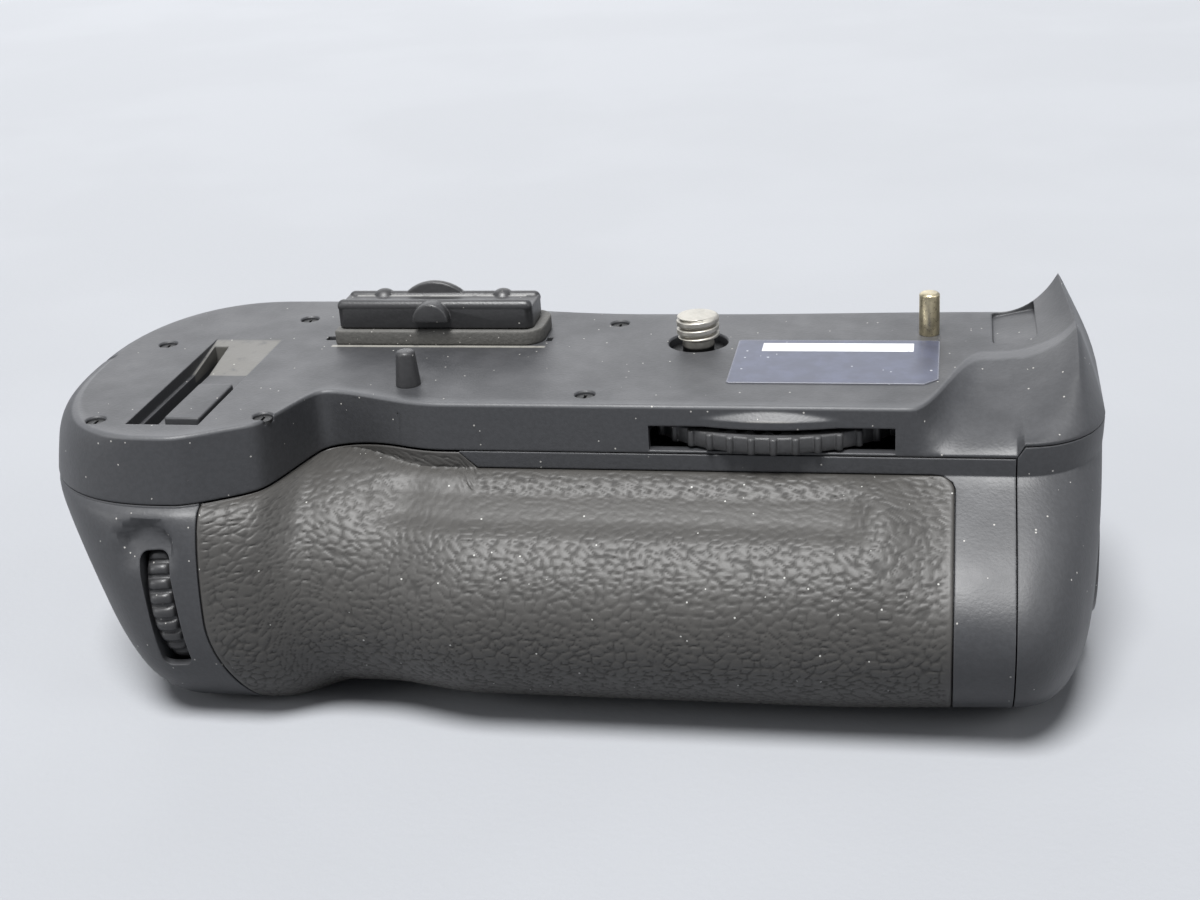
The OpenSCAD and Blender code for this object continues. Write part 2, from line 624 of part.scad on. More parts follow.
module top_casing() {
    color(charcoal) difference() {
        union() {
            loft([for (p = top_stations) top_ring(p)]);
            intersection() {
                brow();
                translate([slot_x - 14, -plate_front - 3, -slot_high]) cube([28, 4, 4]);
            }
        }
        // Hollow under the plate, with room for the wheel
        difference() {
            union() {
                translate([-well_left, -waist_front + wall, -20])
                    cube([well_left + well_right, well_back + waist_front - wall, 20 - plate_t]);
                translate([-well_mid, -plate_front + wall, -20])
                    cube([well_mid + well_right - 2.5, plate_front - waist_front + 5, 20 - plate_t]);
                translate([-80, -34, -20]) cube([18, 46, 20 - plate_t - holder_depth - 2.2]);
                translate([wheel_x, wheel_y, -slot_low]) cylinder(r = wheel_r + 0.4, h = slot_low - slot_high);
            }
            for (s = plate_screw_places) translate([s[0], s[1], -20]) cylinder(r = 3, h = 20);
            for (s = drive_posts) translate([s[0], s[1], -drive_plate_top]) cylinder(r = drive_post_r, h = 8);
        }
        for (s = drive_posts) translate([s[0], s[1], -drive_plate_top - e]) cylinder(r = drive_screw_r + seat_gap, h = 3.6);
        translate([slot_x - slot_w / 2, -plate_front - 4, -slot_low]) cube([slot_w, 8, slot_low - slot_high]);
        // Camera screw's hole, alignment pin's and post's seats
        translate([0, 0, -plate_t - 1]) cylinder(r = screw_hole_r, h = 4);
        translate([pin_at[0], pin_at[1], -plate_t - e]) cylinder(r = pin_r - 0.2 + seat_gap, h = 3);
        // Window for the connector
        translate([block_at[0] - 0.2, block_at[1] - 0.2, -plate_t - 1])
            cube([block_size[0] + 0.4, block_size[1] + 0.4, 4]);
        for (x = [collar_at[0] - 1.1, collar_at[0] + collar_l + 0.2])
            translate([x, collar_at[1] + 2.2, -0.9]) cube([0.9, 1.8, 2]);
        for (s = plate_screw_places) translate([s[0], s[1], -0.9]) cylinder(r = plate_screw_r, h = 2);
        cap_holder_cut();
        // Sunken panel in the lip
        translate([lip_start + 1.3, 2, -lip_panel_depth + 0.05]) rotate([0, -13, 0]) cube([6, 8, 4]);
    }
}

// The holder for the contact cap: a ramp, a floor with a tongue and a groove along one side
module cap_holder_cut() {
    translate([holder_at[0], holder_at[1], -holder_depth]) difference() {
        cube([holder[0], holder[1], holder_depth + 1]);
        translate([4.4, 3, -e]) cube([5.3, 13.6, holder_depth - 0.2 + e]);
        translate([-1, holder[1] - 11.4, 0]) rotate([atan(holder_depth / 11.4), 0, 0])
            translate([0, 0, -4]) cube([holder[0] + 2, 14, 4]);
    }
    translate([holder_at[0] + 0.5, holder_at[1] + 0.6, -4.2]) cube([2.3, 32.4, 5]);
}

module label_plate() {
    cut = 1.9;
    color(slate) translate([6.1, -17.2, 0.01]) linear_extrude(label_t)
        polygon([[0, 0], [label_l - cut, 0], [label_l, cut], [label_l, label_w], [0, label_w]]);
}

module connector_collar() {
    r = 3;
    color(charcoal) translate([collar_at[0], collar_at[1], 0]) difference() {
        linear_extrude(collar_h) union() {
            square([collar_l - r, collar_w]);
            translate([0, r]) square([collar_l, collar_w - 2 * r]);
            for (y = [r, collar_w - r]) translate([collar_l - r, y]) circle(r);
        }
        translate([block_at[0] - collar_at[0] - 0.2, block_at[1] - collar_at[1] - 0.2, -1])
            cube([block_size[0] + 0.4, block_size[1] + 0.4, 5]);
    }
}

block_top = 4.6;
contact_count = 12;
contact_pitch = 1.7;
module contact_places() {
    for (i = [0:contact_count - 1])
        translate([block_at[0] + block_size[0] / 2 + (i - (contact_count - 1) / 2) * contact_pitch,
            block_at[1], 0]) children();
}
module contact_block() {
    color([0.08, 0.08, 0.08]) difference() {
        translate([block_at[0], block_at[1], -3.6]) cube([block_size[0], block_size[1], block_top + 3.6]);
        contact_places() translate([-0.4, 1, block_top - 1]) cube([0.8, block_size[1] - 2, 2]);
        for (x = [4, 20]) translate([block_at[0] + x, block_at[1] - 1, 2.6]) cube([0.8, 2, 4]);
    }
}
module contact_pins() {
    color(brass) contact_places() translate([-0.35, 1.05, block_top - 1])
        cube([0.7, block_size[1] - 2.1, 0.8]);
}

// Contact cap: a hollow cover with a channelled top, a thumb rib in front and a finger tab behind
cap_gap = 0.15;
module contact_cap() {
    low = collar_h + cap_gap;
    rear_h = cap_h - 0.6;
    color(charcoal) difference() {
        union() {
            translate([cap_at[0], cap_at[1], low]) round_box([cap_size[0], cap_size[1], rear_h - 0.5 - low], 1.4);
            // Front and rear ridges with their rounded ends
            translate([cap_at[0], cap_at[1] + 1, 0]) bar_along(cap_size[0], cap_h - 1);
            translate([cap_at[0], cap_at[1] + cap_size[1] - 1, 0]) bar_along(cap_size[0], rear_h - 1);
            // Finger tab behind, with a low bump on each side
            translate([-41.7, cap_at[1] + cap_size[1] - 0.9, cap_h - 5.9]) rotate([90, 0, 0]) intersection() {
                cylinder(r = 6.9, h = 1.4, center = true);
                translate([-7, 4, -1]) cube([14, 4, 2]);
            }
            for (x = [-49.9, -30.9]) translate([x, cap_at[1] + cap_size[1] - 1, rear_h - 1.6]) sphere(2);
            // Thumb rib in front
            translate([-40.4, cap_at[1] + 0.2, 4.1]) rotate([90, 0, 0]) intersection() {
                cylinder(r1 = 2.8, r2 = 2.4, h = 2);
                translate([-3, 0, 0]) cube([6, 3, 2]);
            }
            for (x = [-49.8, -31]) translate([x, cap_at[1] + 2.3, rear_h - 1.3]) sphere(1);
        }
        translate([cap_at[0] + cap_wall, cap_at[1] + cap_wall, low - e])
            cube([cap_size[0] - 2 * cap_wall, cap_size[1] - 2 * cap_wall, block_top + 0.4 - low]);
    }
}
module bar_along(l, z) {
    translate([1, 0, z]) rotate([0, 90, 0]) cylinder(r = 1, h = l - 2);
    for (x = [1, l - 1]) translate([x, 0, z]) sphere(1);
}

post_at = [-39.8, -18.6];
module guide_post() {
    color(charcoal) translate([post_at[0], post_at[1], 0]) {
        cylinder(r1 = post_r, r2 = post_r - 0.45, h = post_h - 0.3);
        translate([0, 0, post_h - 0.3]) cylinder(r1 = post_r - 0.45, r2 = post_r - 0.8, h = 0.3);
    }
}

module alignment_pin() {
    color(brass) translate([pin_at[0], pin_at[1], 0]) {
        translate([0, 0, -plate_t]) cylinder(r = pin_r - 0.2, h = plate_t + 1);
        cylinder(r = pin_r, h = pin_h - 0.3);
        translate([0, 0, pin_h - 0.3]) cylinder(r1 = pin_r, r2 = pin_r - 0.3, h = 0.3);
    }
}

module plate_screws() {
    color(steel) for (s = plate_screw_places) translate([s[0], s[1], -0.9])
        difference() {
            cylinder(r = plate_screw_r - 0.15, h = 0.5);
            translate([0, 0, 0.3]) cube([0.4, 1.6, 1], center = true);
        }
}

// Camera screw and its drive

clip_low = drive_plate_top + drive_plate_t + 0.6;
pinion_top = wheel_top + 0.1;
pinion_t = 1.3;
flange_t = 1.2;
module camera_screw() {
    color(nickel) {
        translate([0, 0, neck_h]) cylinder(r = screw_r, h = screw_h - neck_h - 0.4);
        translate([0, 0, screw_h - 0.4]) cylinder(r1 = screw_r, r2 = screw_r - 0.4, h = 0.4);
        translate([0, 0, -0.4]) cylinder(r = neck_r, h = neck_h + 0.4);
        translate([0, 0, -0.4 - flange_t]) cylinder(r = screw_hole_r - 0.3, h = flange_t);
        translate([0, 0, -clip_low]) cylinder(r = journal_r, h = clip_low - 0.4 - flange_t + e);
    }
}
module screw_clip() {
    color(steel) translate([0, 0, -clip_low]) difference() {
        cylinder(r = journal_r + 0.9, h = 0.5);
        translate([0, 0, -1]) cylinder(r = journal_r + seat_gap, h = 3);
        translate([-0.8, 0, -1]) cube([1.6, 6, 3]);
    }
}

// One tooth as a wedge across the pitch circle: radii and half angles at root and tip
function tooth(a, root_r, tip_r, root_h, tip_h) = [
    [root_r * cos(a - root_h), root_r * sin(a - root_h)],
    [tip_r * cos(a - tip_h), tip_r * sin(a - tip_h)],
    [tip_r * cos(a + tip_h), tip_r * sin(a + tip_h)],
    [root_r * cos(a + root_h), root_r * sin(a + root_h)]];
mesh_angle = atan2(-wheel_y, -wheel_x);
module screw_gear() {
    pitch_r = gear_module * pinion_teeth / 2;
    step = 360 / pinion_teeth;
    root_r = pitch_r - 1.2 * gear_module;
    color(steel) translate([0, 0, -pinion_top - pinion_t]) difference() {
        linear_extrude(pinion_t) polygon([for (i = [0:pinion_teeth - 1])
            each tooth(mesh_angle + i * step, root_r, pitch_r + 0.8 * gear_module, step * 0.33, step * 0.1)]);
        translate([0, 0, -1]) cylinder(r = journal_r + seat_gap, h = 4);
    }
}

boss_r = 17.2;
module attachment_wheel() {
    pitch_r = gear_module * ring_teeth / 2;
    step = 360 / ring_teeth;
    rib_step = 360 / wheel_ribs;
    lip_t = 0.8;
    color([0.14, 0.14, 0.145]) translate([wheel_x, wheel_y, -wheel_top - wheel_t]) {
        difference() {
            union() {
                cylinder(r = wheel_r - 0.6, h = wheel_t);
                linear_extrude(wheel_t - 0.15) polygon([for (i = [0:wheel_ribs - 1])
                    each tooth(i * rib_step, wheel_r - 0.65, wheel_r, rib_step * 0.19, rib_step * 0.13)]);
            }
            translate([0, 0, lip_t]) linear_extrude(wheel_t) polygon([for (i = [0:ring_teeth - 1])
                each tooth(mesh_angle + i * step, pitch_r - 0.9 * gear_module, pitch_r + 1.1 * gear_module,
                    step * 0.4, step * 0.17)]);
            translate([0, 0, -1]) cylinder(r = boss_r + run_gap, h = 5);
        }
    }
}

module drive_plate() {
    color(steel) difference() {
        union() {
            translate([0, 0, -drive_plate_top - drive_plate_t]) linear_extrude(drive_plate_t) union() {
                translate([wheel_x, wheel_y]) circle(boss_r + 0.8);
                for (s = drive_posts) translate([s[0], s[1]]) circle(drive_post_r + 0.4);
                for (s = drive_posts) link(s, [wheel_x, wheel_y], 2.4);
            }
            translate([wheel_x, wheel_y, -drive_plate_top - e]) cylinder(r = boss_r,
                h = drive_plate_top - pinion_top - pinion_t - 0.1);
        }
        translate([0, 0, -20]) cylinder(r = journal_r + run_gap, h = 20);
        for (s = drive_posts) translate([s[0], s[1], -20]) cylinder(r = drive_screw_r + 0.3, h = 20);
        // Lightening windows
        for (a = [-60, 0, 60]) translate([wheel_x, wheel_y, -20]) rotate(a) translate([9.5, 0, 0])
            cylinder(r = 3.4, h = 20);
    }
}
module link(a, b, r) {
    d = b - a;
    translate(a) rotate(atan2(d[1], d[0])) translate([0, -r]) square([norm(d), 2 * r]);
}

module drive_screws() {
    color(steel) for (s = drive_posts) translate([s[0], s[1], -drive_plate_top - drive_plate_t]) {
        translate([0, 0, -drive_head_h]) cylinder(r = 1.9, h = drive_head_h);
        cylinder(r = drive_screw_r, h = drive_plate_t + 2.9);
    }
}

board = [38.5, 28, 1.2];
board_lift = 4.3;
module circuit_board() {
    color(green) difference() {
        translate([-well_left + 0.5, -waist_front + wall + 0.4, -pocket_floor + board_lift]) cube(board);
        for (x = [3, board[0] - 3]) translate([-well_left + 0.5 + x, 6, -12]) cylinder(r = 1.2, h = 10);
    }
    color(charcoal) for (c = [[-52, -16, 7, 7], [-40, -14, 5, 4], [-33, -19, 8, 6]])
        translate([c[0], c[1], -pocket_floor + board_lift + board[2]]) cube([c[2], c[3], 1]);
}

// Command dials

module dial_body() {
    step = 360 / dial_ridges;
    rotate([0, 90, 0]) translate([0, 0, -dial_t / 2]) difference() {
        linear_extrude(dial_t) polygon([for (i = [0:dial_ridges - 1])
            each tooth(i * step, dial_r - 0.7, dial_r, step * 0.36, step * 0.2)]);
        translate([0, 0, -1]) cylinder(r = dial_shaft_r + run_gap, h = dial_t + 2);
        for (z = [-1, dial_t - 1]) translate([0, 0, z]) difference() {
            cylinder(r = dial_r - 2.2, h = 2);
            translate([0, 0, -1]) cylinder(r = dial_shaft_r + 1.8, h = 4);
        }
    }
}
module dial_shaft() {
    rotate([0, 90, 0]) translate([0, 0, -dial_t / 2 - 2.9]) cylinder(r = dial_shaft_r, h = dial_t + 5.8);
}
module front_dial() {
    color(charcoal) at_front_dial() dial_body();
}
module front_dial_shaft() {
    color(steel) at_front_dial() dial_shaft();
}
module rear_dial() {
    color(charcoal) at_rear_dial() dial_body();
}
module rear_dial_shaft() {
    color(steel) at_rear_dial() dial_shaft();
}

// Shutter button with its lock collar

stem_r = 1.6;
module shutter_button() {
    color(charcoal) at_shutter() {
        translate([0, 0, -1.1]) cylinder(r = button_r, h = 2.9);
        translate([0, 0, 1.8]) cylinder(r1 = button_r, r2 = button_r - 0.9, h = 0.5);
        translate([0, 0, -8.6]) cylinder(r = stem_r, h = 8);
    }
}
module shutter_switch() {
    color([0.1, 0.1, 0.1]) at_shutter() translate([0, 0, -14.2]) cylinder(r = 3.4, h = 4.2);
}
module lock_collar() {
    color(charcoal) at_shutter() difference() {
        union() {
            translate([0, 0, -2.3]) cylinder(r = collar_r, h = 3.1);
            translate([0, 0, 0.8]) cylinder(r1 = collar_r, r2 = collar_r - 1, h = 0.7);
            translate([-1.5, collar_r - 3.2, 0.6]) cube([3, 2.9, 1.9]);
        }
        translate([0, 0, -3]) cylinder(r = button_r + 0.3, h = 8);
        for (a = [30:12:150]) rotate(-a) translate([collar_r + 0.1, 0, -0.8]) cylinder(r = 0.4, h = 6);
    }
}

// A coil spring along Z, swept as one closed tube with flat ends
module spring(r, wire, h, turns) {
    sides = 6;
    steps = turns * 10;
    loft([for (i = [0:steps]) let (a = 360 * turns * i / steps, z = wire + (h - 2 * wire) * i / steps)
        [for (j = [0:sides - 1]) let (b = 360 * j / sides, d = r + wire * cos(b))
            [d * cos(a), d * sin(a), z - wire * sin(b)]]]);
}

module focus_button() {
    color(charcoal) facing_back(focus_at, focus_tilt) {
        translate([0, 0, -0.8]) cylinder(r = focus_r, h = 1.9);
        translate([0, 0, 1.1]) cylinder(r1 = focus_r, r2 = focus_r - 0.5, h = 0.3);
        translate([0, 0, -4]) cylinder(r = 1.3, h = 4);
    }
}
module focus_switch() {
    color([0.1, 0.1, 0.1]) facing_back(focus_at, focus_tilt) translate([0, 0, -7.3]) cylinder(r = 2.3, h = 2.4);
}

// Multi selector: a pad on a gimbal that tilts about two axes

gimbal_z = -1.6;
module selector_base() {
    color(charcoal) facing_back(selector_at) difference() {
        union() {
            translate([0, 0, -5.3]) cylinder(r = selector_r + 1, h = 0.8);
            for (x = [-5.4, 4.4]) translate([x, -1, -4.6]) cube([1, 2, 3.8]);
        }
        translate([-8, 0, gimbal_z]) rotate([0, 90, 0]) cylinder(r = 0.55, h = 16);
    }
}
module selector_gimbal() {
    color(steel) facing_back(selector_at) translate([0, 0, gimbal_z]) {
        difference() {
            translate([0, 0, -0.7]) cylinder(r = 4, h = 1.4);
            translate([0, 0, -1]) cylinder(r = 2.6, h = 2);
            rotate([90, 0, 0]) translate([0, 0, -5]) cylinder(r = 0.55, h = 10);
        }
        for (s = [0, 180]) rotate(s) translate([3.5, 0, 0]) rotate([0, 90, 0]) cylinder(r = 0.5, h = 1.8);
    }
}
module multi_selector() {
    color(charcoal) facing_back(selector_at) {
        difference() {
            union() {
                translate([0, 0, 0.4]) cylinder(r = selector_r, h = 0.9);
                translate([0, 0, 1.3]) cylinder(r1 = selector_r, r2 = selector_r - 1.2, h = 0.8);
            }
            translate([0, 0, 9.4]) sphere(r = 8.2);
            for (a = [0:90:270]) rotate(a) translate([selector_r - 1.9, 0, 1.7])
                cylinder(r = 0.7, h = 2, $fn = 3);
        }
        translate([0, 0, gimbal_z - 0.9]) cylinder(r = 1.6, h = 3);
        translate([0, 0, gimbal_z]) rotate([90, 0, 0]) translate([0, 0, -3.7]) cylinder(r = 0.5, h = 7.4);
    }
}

// Battery door, tray and latch

door_wall = 2.4;
knob_sink = 4;
end_stations = [for (a = [14:12:86]) mix(door_x, right_reach, pow(sin(a) / sin(86), 2 / end_bend))];
door_stations = [for (x = concat([door_x + seam_gap / 2, door_x + 1.1], end_stations)) at(x)];
module battery_door() {
    color(charcoal) difference() {
        loft([for (p = door_stations) concat([for (k = [0:last_row]) front_pt(p, k, 0)],
            [for (k = [last_row:-1:0]) back_pt(p, k, 0)])]);
        // Hollow behind the door's face, round the latch's boss
        difference() {
            translate([door_x - 1, -chamber_y - 13.5, chamber_z - 12])
                cube([right_reach - door_x - knob_sink - door_wall + 1, 27, 24]);
            translate([door_x - 2, -chamber_y, chamber_z]) rotate([0, 90, 0])
                cylinder(r = latch_shaft_r + 2.4, h = 20);
        }
        translate(latch_at) rotate([0, 90, 0]) {
            translate([0, 0, right_reach - door_x - knob_sink]) cylinder(r = knob_r + 0.4, h = knob_sink + 2);
            translate([0, 0, -2]) cylinder(r = latch_shaft_r + run_gap, h = 20);
        }
        for (y = [-1, 1], z = [-1, 1]) translate([door_x - 1, -chamber_y + y * 15.3, chamber_z + z * 13.7])
            rotate([0, 90, 0]) cylinder(r = 0.7, h = 6);
    }
}

tray_w = chamber_w - 2 * tray_gap;
tray_h = chamber_h - 2 * tray_gap;
tray_x0 = -chamber_end + 0.6;
tray_x1 = door_x - 5;
corner_post = 2.2;
module cell_spots() {
    for (y = [-1, 1], z = [-1, 1])
        translate([0, -chamber_y + y * (cell_d / 2 + 0.35), chamber_z + z * (cell_d / 2 + web_t / 2)]) children();
}
cell_x0 = tray_x0 + 3.1;
module battery_tray() {
    inner = tray_x1 - tray_x0 - 3;
    color([0.13, 0.13, 0.13]) difference() {
        union() {
            translate([tray_x0, -chamber_y - tray_w / 2, chamber_z - tray_h / 2])
                cube([tray_x1 - tray_x0, tray_w, tray_h]);
            for (y = [-1, 1], z = [-1, 1])
                translate([tray_x1 - 1, -chamber_y + y * (tray_w / 2 - corner_post / 2) - corner_post / 2,
                    chamber_z + z * (tray_h / 2 - corner_post / 2) - corner_post / 2])
                    cube([door_x + seam_gap / 2 - tray_x1 + 1, corner_post, corner_post]);
        }
        // Two cells lie end to end in each of the four bays, which are open above and below
        cell_spots() translate([tray_x0 + 1.5, 0, 0]) rotate([0, 90, 0]) cylinder(r = cell_d / 2 + 0.15, h = inner);
        for (z = [-1, 1]) translate([tray_x0 + 1.5, -chamber_y - cell_d - 0.2, chamber_z + z * tray_h / 2 - 4])
            cube([inner, 2 * cell_d + 0.4, 8]);
        for (y = [-1, 1]) translate([tray_x0 + 20, -chamber_y + y * tray_w / 2 - 2, chamber_z - 5])
            cube([inner - 40, 4, 10]);
        for (y = [-1, 1], z = [-1, 1]) translate([door_x - 3.5, -chamber_y + y * 15.3, chamber_z + z * 13.7])
            rotate([0, 90, 0]) cylinder(r = 0.6 + seat_gap, h = 6);
    }
}
module tray_springs() {
    color(nickel) cell_spots() translate([tray_x1 - 1.5, 0, 0]) rotate([0, -90, 0]) spring(3.6, 0.3, 2.6, 2.5);
}
module tray_studs() {
    color(nickel) cell_spots() translate([tray_x0 + 1.5, 0, 0]) rotate([0, 90, 0]) {
        cylinder(r = 4.5, h = 0.3);
        cylinder(r = 1.8, h = 0.7);
    }
}
module tray_terminals() {
    color(brass) for (y = [-7.5, -2.5, 2.5, 7.5])
        translate([tray_x0 - 0.3, -chamber_y + y - 1.6, chamber_z - 3]) cube([0.3, 3.2, 6]);
}
module tray_screws() {
    color(steel) for (y = [-1, 1], z = [-1, 1])
        translate([door_x - 3.4, -chamber_y + y * 15.3, chamber_z + z * 13.7]) rotate([0, 90, 0])
            cylinder(r = 0.6, h = 8);
}
module chamber_terminals() {
    color([0.1, 0.1, 0.1]) translate([-chamber_end - 2.3, -chamber_y - 10, chamber_z - 4]) cube([2.2, 20, 8]);
    color(brass) for (y = [-7.5, -2.5, 2.5, 7.5])
        translate([-chamber_end - 0.1, -chamber_y + y, chamber_z]) rotate([0, 90, 0]) cylinder(r = 0.7, h = 0.3);
}

bar_x = door_x - 4.2;
module latch_shaft() {
    color(steel) translate([bar_x - 0.3, -chamber_y, chamber_z]) rotate([0, 90, 0])
        cylinder(r = latch_shaft_r, h = right_reach - knob_sink - bar_x + 0.3 + 0.15);
}
module latch_bar() {
    color(steel) translate([bar_x, -chamber_y, chamber_z]) rotate([0, 90, 0]) difference() {
        intersection() {
            cylinder(r = bar_reach, h = bar_t);
            translate([-4.5, -bar_reach - 1, 0]) cube([9, 2 * bar_reach + 2, bar_t]);
        }
        translate([0, 0, -1]) cylinder(r = latch_shaft_r + seat_gap, h = bar_t + 2);
    }
}
module latch_knob() {
    translate([right_reach - knob_sink + 0.15, -chamber_y, chamber_z]) rotate([0, 90, 0]) color(charcoal)
        difference() {
            union() {
                cylinder(r = knob_r, h = knob_sink - 0.9);
                translate([0, 0, knob_sink - 0.9]) cylinder(r1 = knob_r, r2 = knob_r - 0.5, h = 0.5);
            }
            // Half-round bed for the fold-out key
            translate([0, 0, 1.2]) intersection() {
                cylinder(r = knob_r - 1.8, h = 4);
                translate([-knob_r, -1.5, 0]) cube([2 * knob_r, 2 * knob_r, 4]);
            }
            translate([-knob_r + 1, 0, 2.1]) rotate([0, 90, 0]) cylinder(r = 0.55, h = 2 * knob_r - 2);
        }
}
module latch_key() {
    key_r = knob_r - 2.1;
    translate([right_reach - knob_sink + 0.15, -chamber_y, chamber_z]) rotate([0, 90, 0]) color(charcoal) {
        translate([0, 0, 1.4]) difference() {
            intersection() {
                cylinder(r = key_r, h = 1.6);
                translate([-key_r, 0.2, 0]) cube([2 * key_r, 2 * key_r, 3]);
            }
            translate([0, 3.6, -1]) cylinder(r = 2.6, h = 5);
        }
        translate([-key_r + 0.4, 0, 2.1]) rotate([0, 90, 0]) cylinder(r = 0.8, h = 2 * key_r - 0.8);
        translate([-key_r - 1, 0, 2.1]) rotate([0, 90, 0]) cylinder(r = 0.5, h = 2 * key_r + 2);
    }
}

module tripod_socket() {
    color(nickel) translate([socket_at[0], socket_at[1], -body_height]) difference() {
        cylinder(r = socket_outer, h = socket_depth + 0.5);
        translate([0, 0, -e]) cylinder(r = socket_r, h = socket_depth);
    }
}
module base_screws() {
    color(steel) for (s = base_screw_places) translate([s[0], s[1], -body_height + 0.2]) difference() {
        cylinder(r = base_screw_r, h = 1);
        for (a = [0, 90]) rotate(a) cube([0.5, 2.2, 1.2], center = true);
    }
}

top_casing();
grip_casing();
front_rubber();
thumb_rubber();
label_plate();
connector_collar();
contact_block();
contact_pins();
contact_cap();
guide_post();
alignment_pin();
plate_screws();
camera_screw();
screw_gear();
attachment_wheel();
drive_plate();
drive_screws();
screw_clip();
circuit_board();
front_dial();
front_dial_shaft();
rear_dial();
rear_dial_shaft();
shutter_button();
shutter_switch();
lock_collar();
focus_button();
focus_switch();
selector_base();
selector_gimbal();
multi_selector();
battery_door();
battery_tray();
tray_springs();
tray_studs();
tray_terminals();
tray_screws();
chamber_terminals();
latch_knob();
latch_key();
latch_shaft();
latch_bar();
tripod_socket();
base_screws();
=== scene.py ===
"""Looks of a camera battery grip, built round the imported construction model.

Lengths are millimetres in this file and metres in every mesh that it makes. The origin is on the
camera screw's axis in the plane of the top plate, +X runs to the battery door, -Y is the front
with the hand grip and +Z points up to the camera.
"""

import logging
import math
from dataclasses import dataclass, field
from enum import Enum

import bpy
import numpy as np
from mathutils import Matrix


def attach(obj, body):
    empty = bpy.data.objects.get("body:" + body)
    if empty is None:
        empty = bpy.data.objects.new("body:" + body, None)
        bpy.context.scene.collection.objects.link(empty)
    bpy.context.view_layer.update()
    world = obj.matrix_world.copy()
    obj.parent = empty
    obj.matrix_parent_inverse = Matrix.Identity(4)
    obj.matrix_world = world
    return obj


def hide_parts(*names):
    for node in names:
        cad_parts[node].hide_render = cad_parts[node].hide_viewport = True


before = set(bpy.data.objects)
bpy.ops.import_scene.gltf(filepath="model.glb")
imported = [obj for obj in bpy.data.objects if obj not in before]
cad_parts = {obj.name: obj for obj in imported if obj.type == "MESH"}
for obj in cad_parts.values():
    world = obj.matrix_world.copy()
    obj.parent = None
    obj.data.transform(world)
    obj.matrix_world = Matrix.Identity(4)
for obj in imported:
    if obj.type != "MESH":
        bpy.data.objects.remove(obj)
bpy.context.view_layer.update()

log = logging.getLogger("battery_grip")
Array = np.ndarray
MM = 0.001


class Body(Enum):
    """Bodies of the frame that a piece can ride on."""

    HOUSING = "housing"
    SCREW = "screw"
    WHEEL = "wheel"
    CAP = "cap"
    FRONT_DIAL = "front_dial_body"
    REAR_DIAL = "rear_dial_body"
    RELEASE = "release"
    LOCK = "lock"
    FOCUS = "focus"
    SELECTOR = "selector"
    DRAWER = "drawer"
    LATCH = "latch"
    KEY = "key"


class Slot(Enum):
    """Material slots of the record."""

    CASING = "casing_plastic"
    COVER = "cover_rubber"
    CONTROL = "control_plastic"
    INSULATOR = "black_insulator"
    LABEL = "label_film"
    PIN = "brass_pin"
    GOLD = "contact_gold"
    NICKEL = "screw_nickel"
    STEEL = "plain_steel"
    BOARD = "board_green"
    TRAY = "tray_plastic"


class Ends(Enum):
    """How the two ends of a loft are closed."""

    FLAT = "flat"
    STITCHED = "stitched"
    LOOPED = "looped"


# Curves that the shapes share


def clamp(u: Array) -> Array:
    """u held between 0 and 1."""
    return np.clip(u, 0.0, 1.0)


def mix(a: Array, b: Array, u: Array) -> Array:
    """The point at share u of the way from a to b."""
    return a + (b - a) * u


def ease(a: float, b: float, x: Array) -> Array:
    """0 before a, 1 after b, and u squared times (3 - 2u) between them."""
    u = clamp((x - a) / (b - a))
    return u * u * (3 - 2 * u)


def ease5(a: float, b: float, x: Array) -> Array:
    """As ease, with the fifth order curve 6u^5 - 15u^4 + 10u^3."""
    u = clamp((x - a) / (b - a))
    return u**3 * (u * (6 * u - 15) + 10)


def arc_in(u: Array) -> Array:
    """Height of a quarter circle over its tangent: 1 minus the root of 1 - u squared."""
    u = clamp(u)
    return 1 - np.sqrt(1 - u * u)


def soft_most(a: Array, b: Array, width: float) -> Array:
    """The greater of a and b, rounded: half of a + b + the root of (a - b)^2 + width^2."""
    return 0.5 * (a + b + np.sqrt((a - b) ** 2 + width**2))


def steps(points: list[float], pitch: float) -> Array:
    """Values that pass through every given point, with at most one pitch between two of them."""
    runs = [
        np.linspace(a, b, max(1, math.ceil((b - a) / pitch)) + 1)[:-1]
        for a, b in zip(points[:-1], points[1:])
    ]
    return np.concatenate([*runs, points[-1:]])


# Closed shapes


@dataclass
class Shape:
    """A closed surface: points in millimetres, and faces as one array for each corner count."""

    points: Array
    faces: list[Array]

    def volume(self) -> float:
        """Sum over the faces' triangles of one sixth of the triple product of their corners."""
        total = 0.0
        for group in self.faces:
            corners = self.points[group]
            for k in range(1, group.shape[1] - 1):
                a, b, c = corners[:, 0], corners[:, k], corners[:, k + 1]
                total += float(np.einsum("ij,ij->", a, np.cross(b, c))) / 6
        return total

    def outward(self) -> "Shape":
        """The same surface with its faces turned so that the volume is positive."""
        if self.volume() < 0:
            self.faces = [group[:, ::-1] for group in self.faces]
        return self

    def moved(self, place: "Place") -> "Shape":
        """The shape carried into a place.

        Args:
            place: The local frame that the shape was drawn in.

        Returns:
            A new shape in the row's frame.
        """
        return Shape(place.world(self.points), [g.copy() for g in self.faces]).outward()

    @staticmethod
    def joined(*shapes: "Shape") -> "Shape":
        """Several shapes as one, with the later ones' corner numbers raised."""
        starts = np.cumsum([0] + [len(s.points) for s in shapes[:-1]])
        return Shape(
            np.concatenate([s.points for s in shapes]),
            [g + start for s, start in zip(shapes, starts) for g in s.faces],
        )


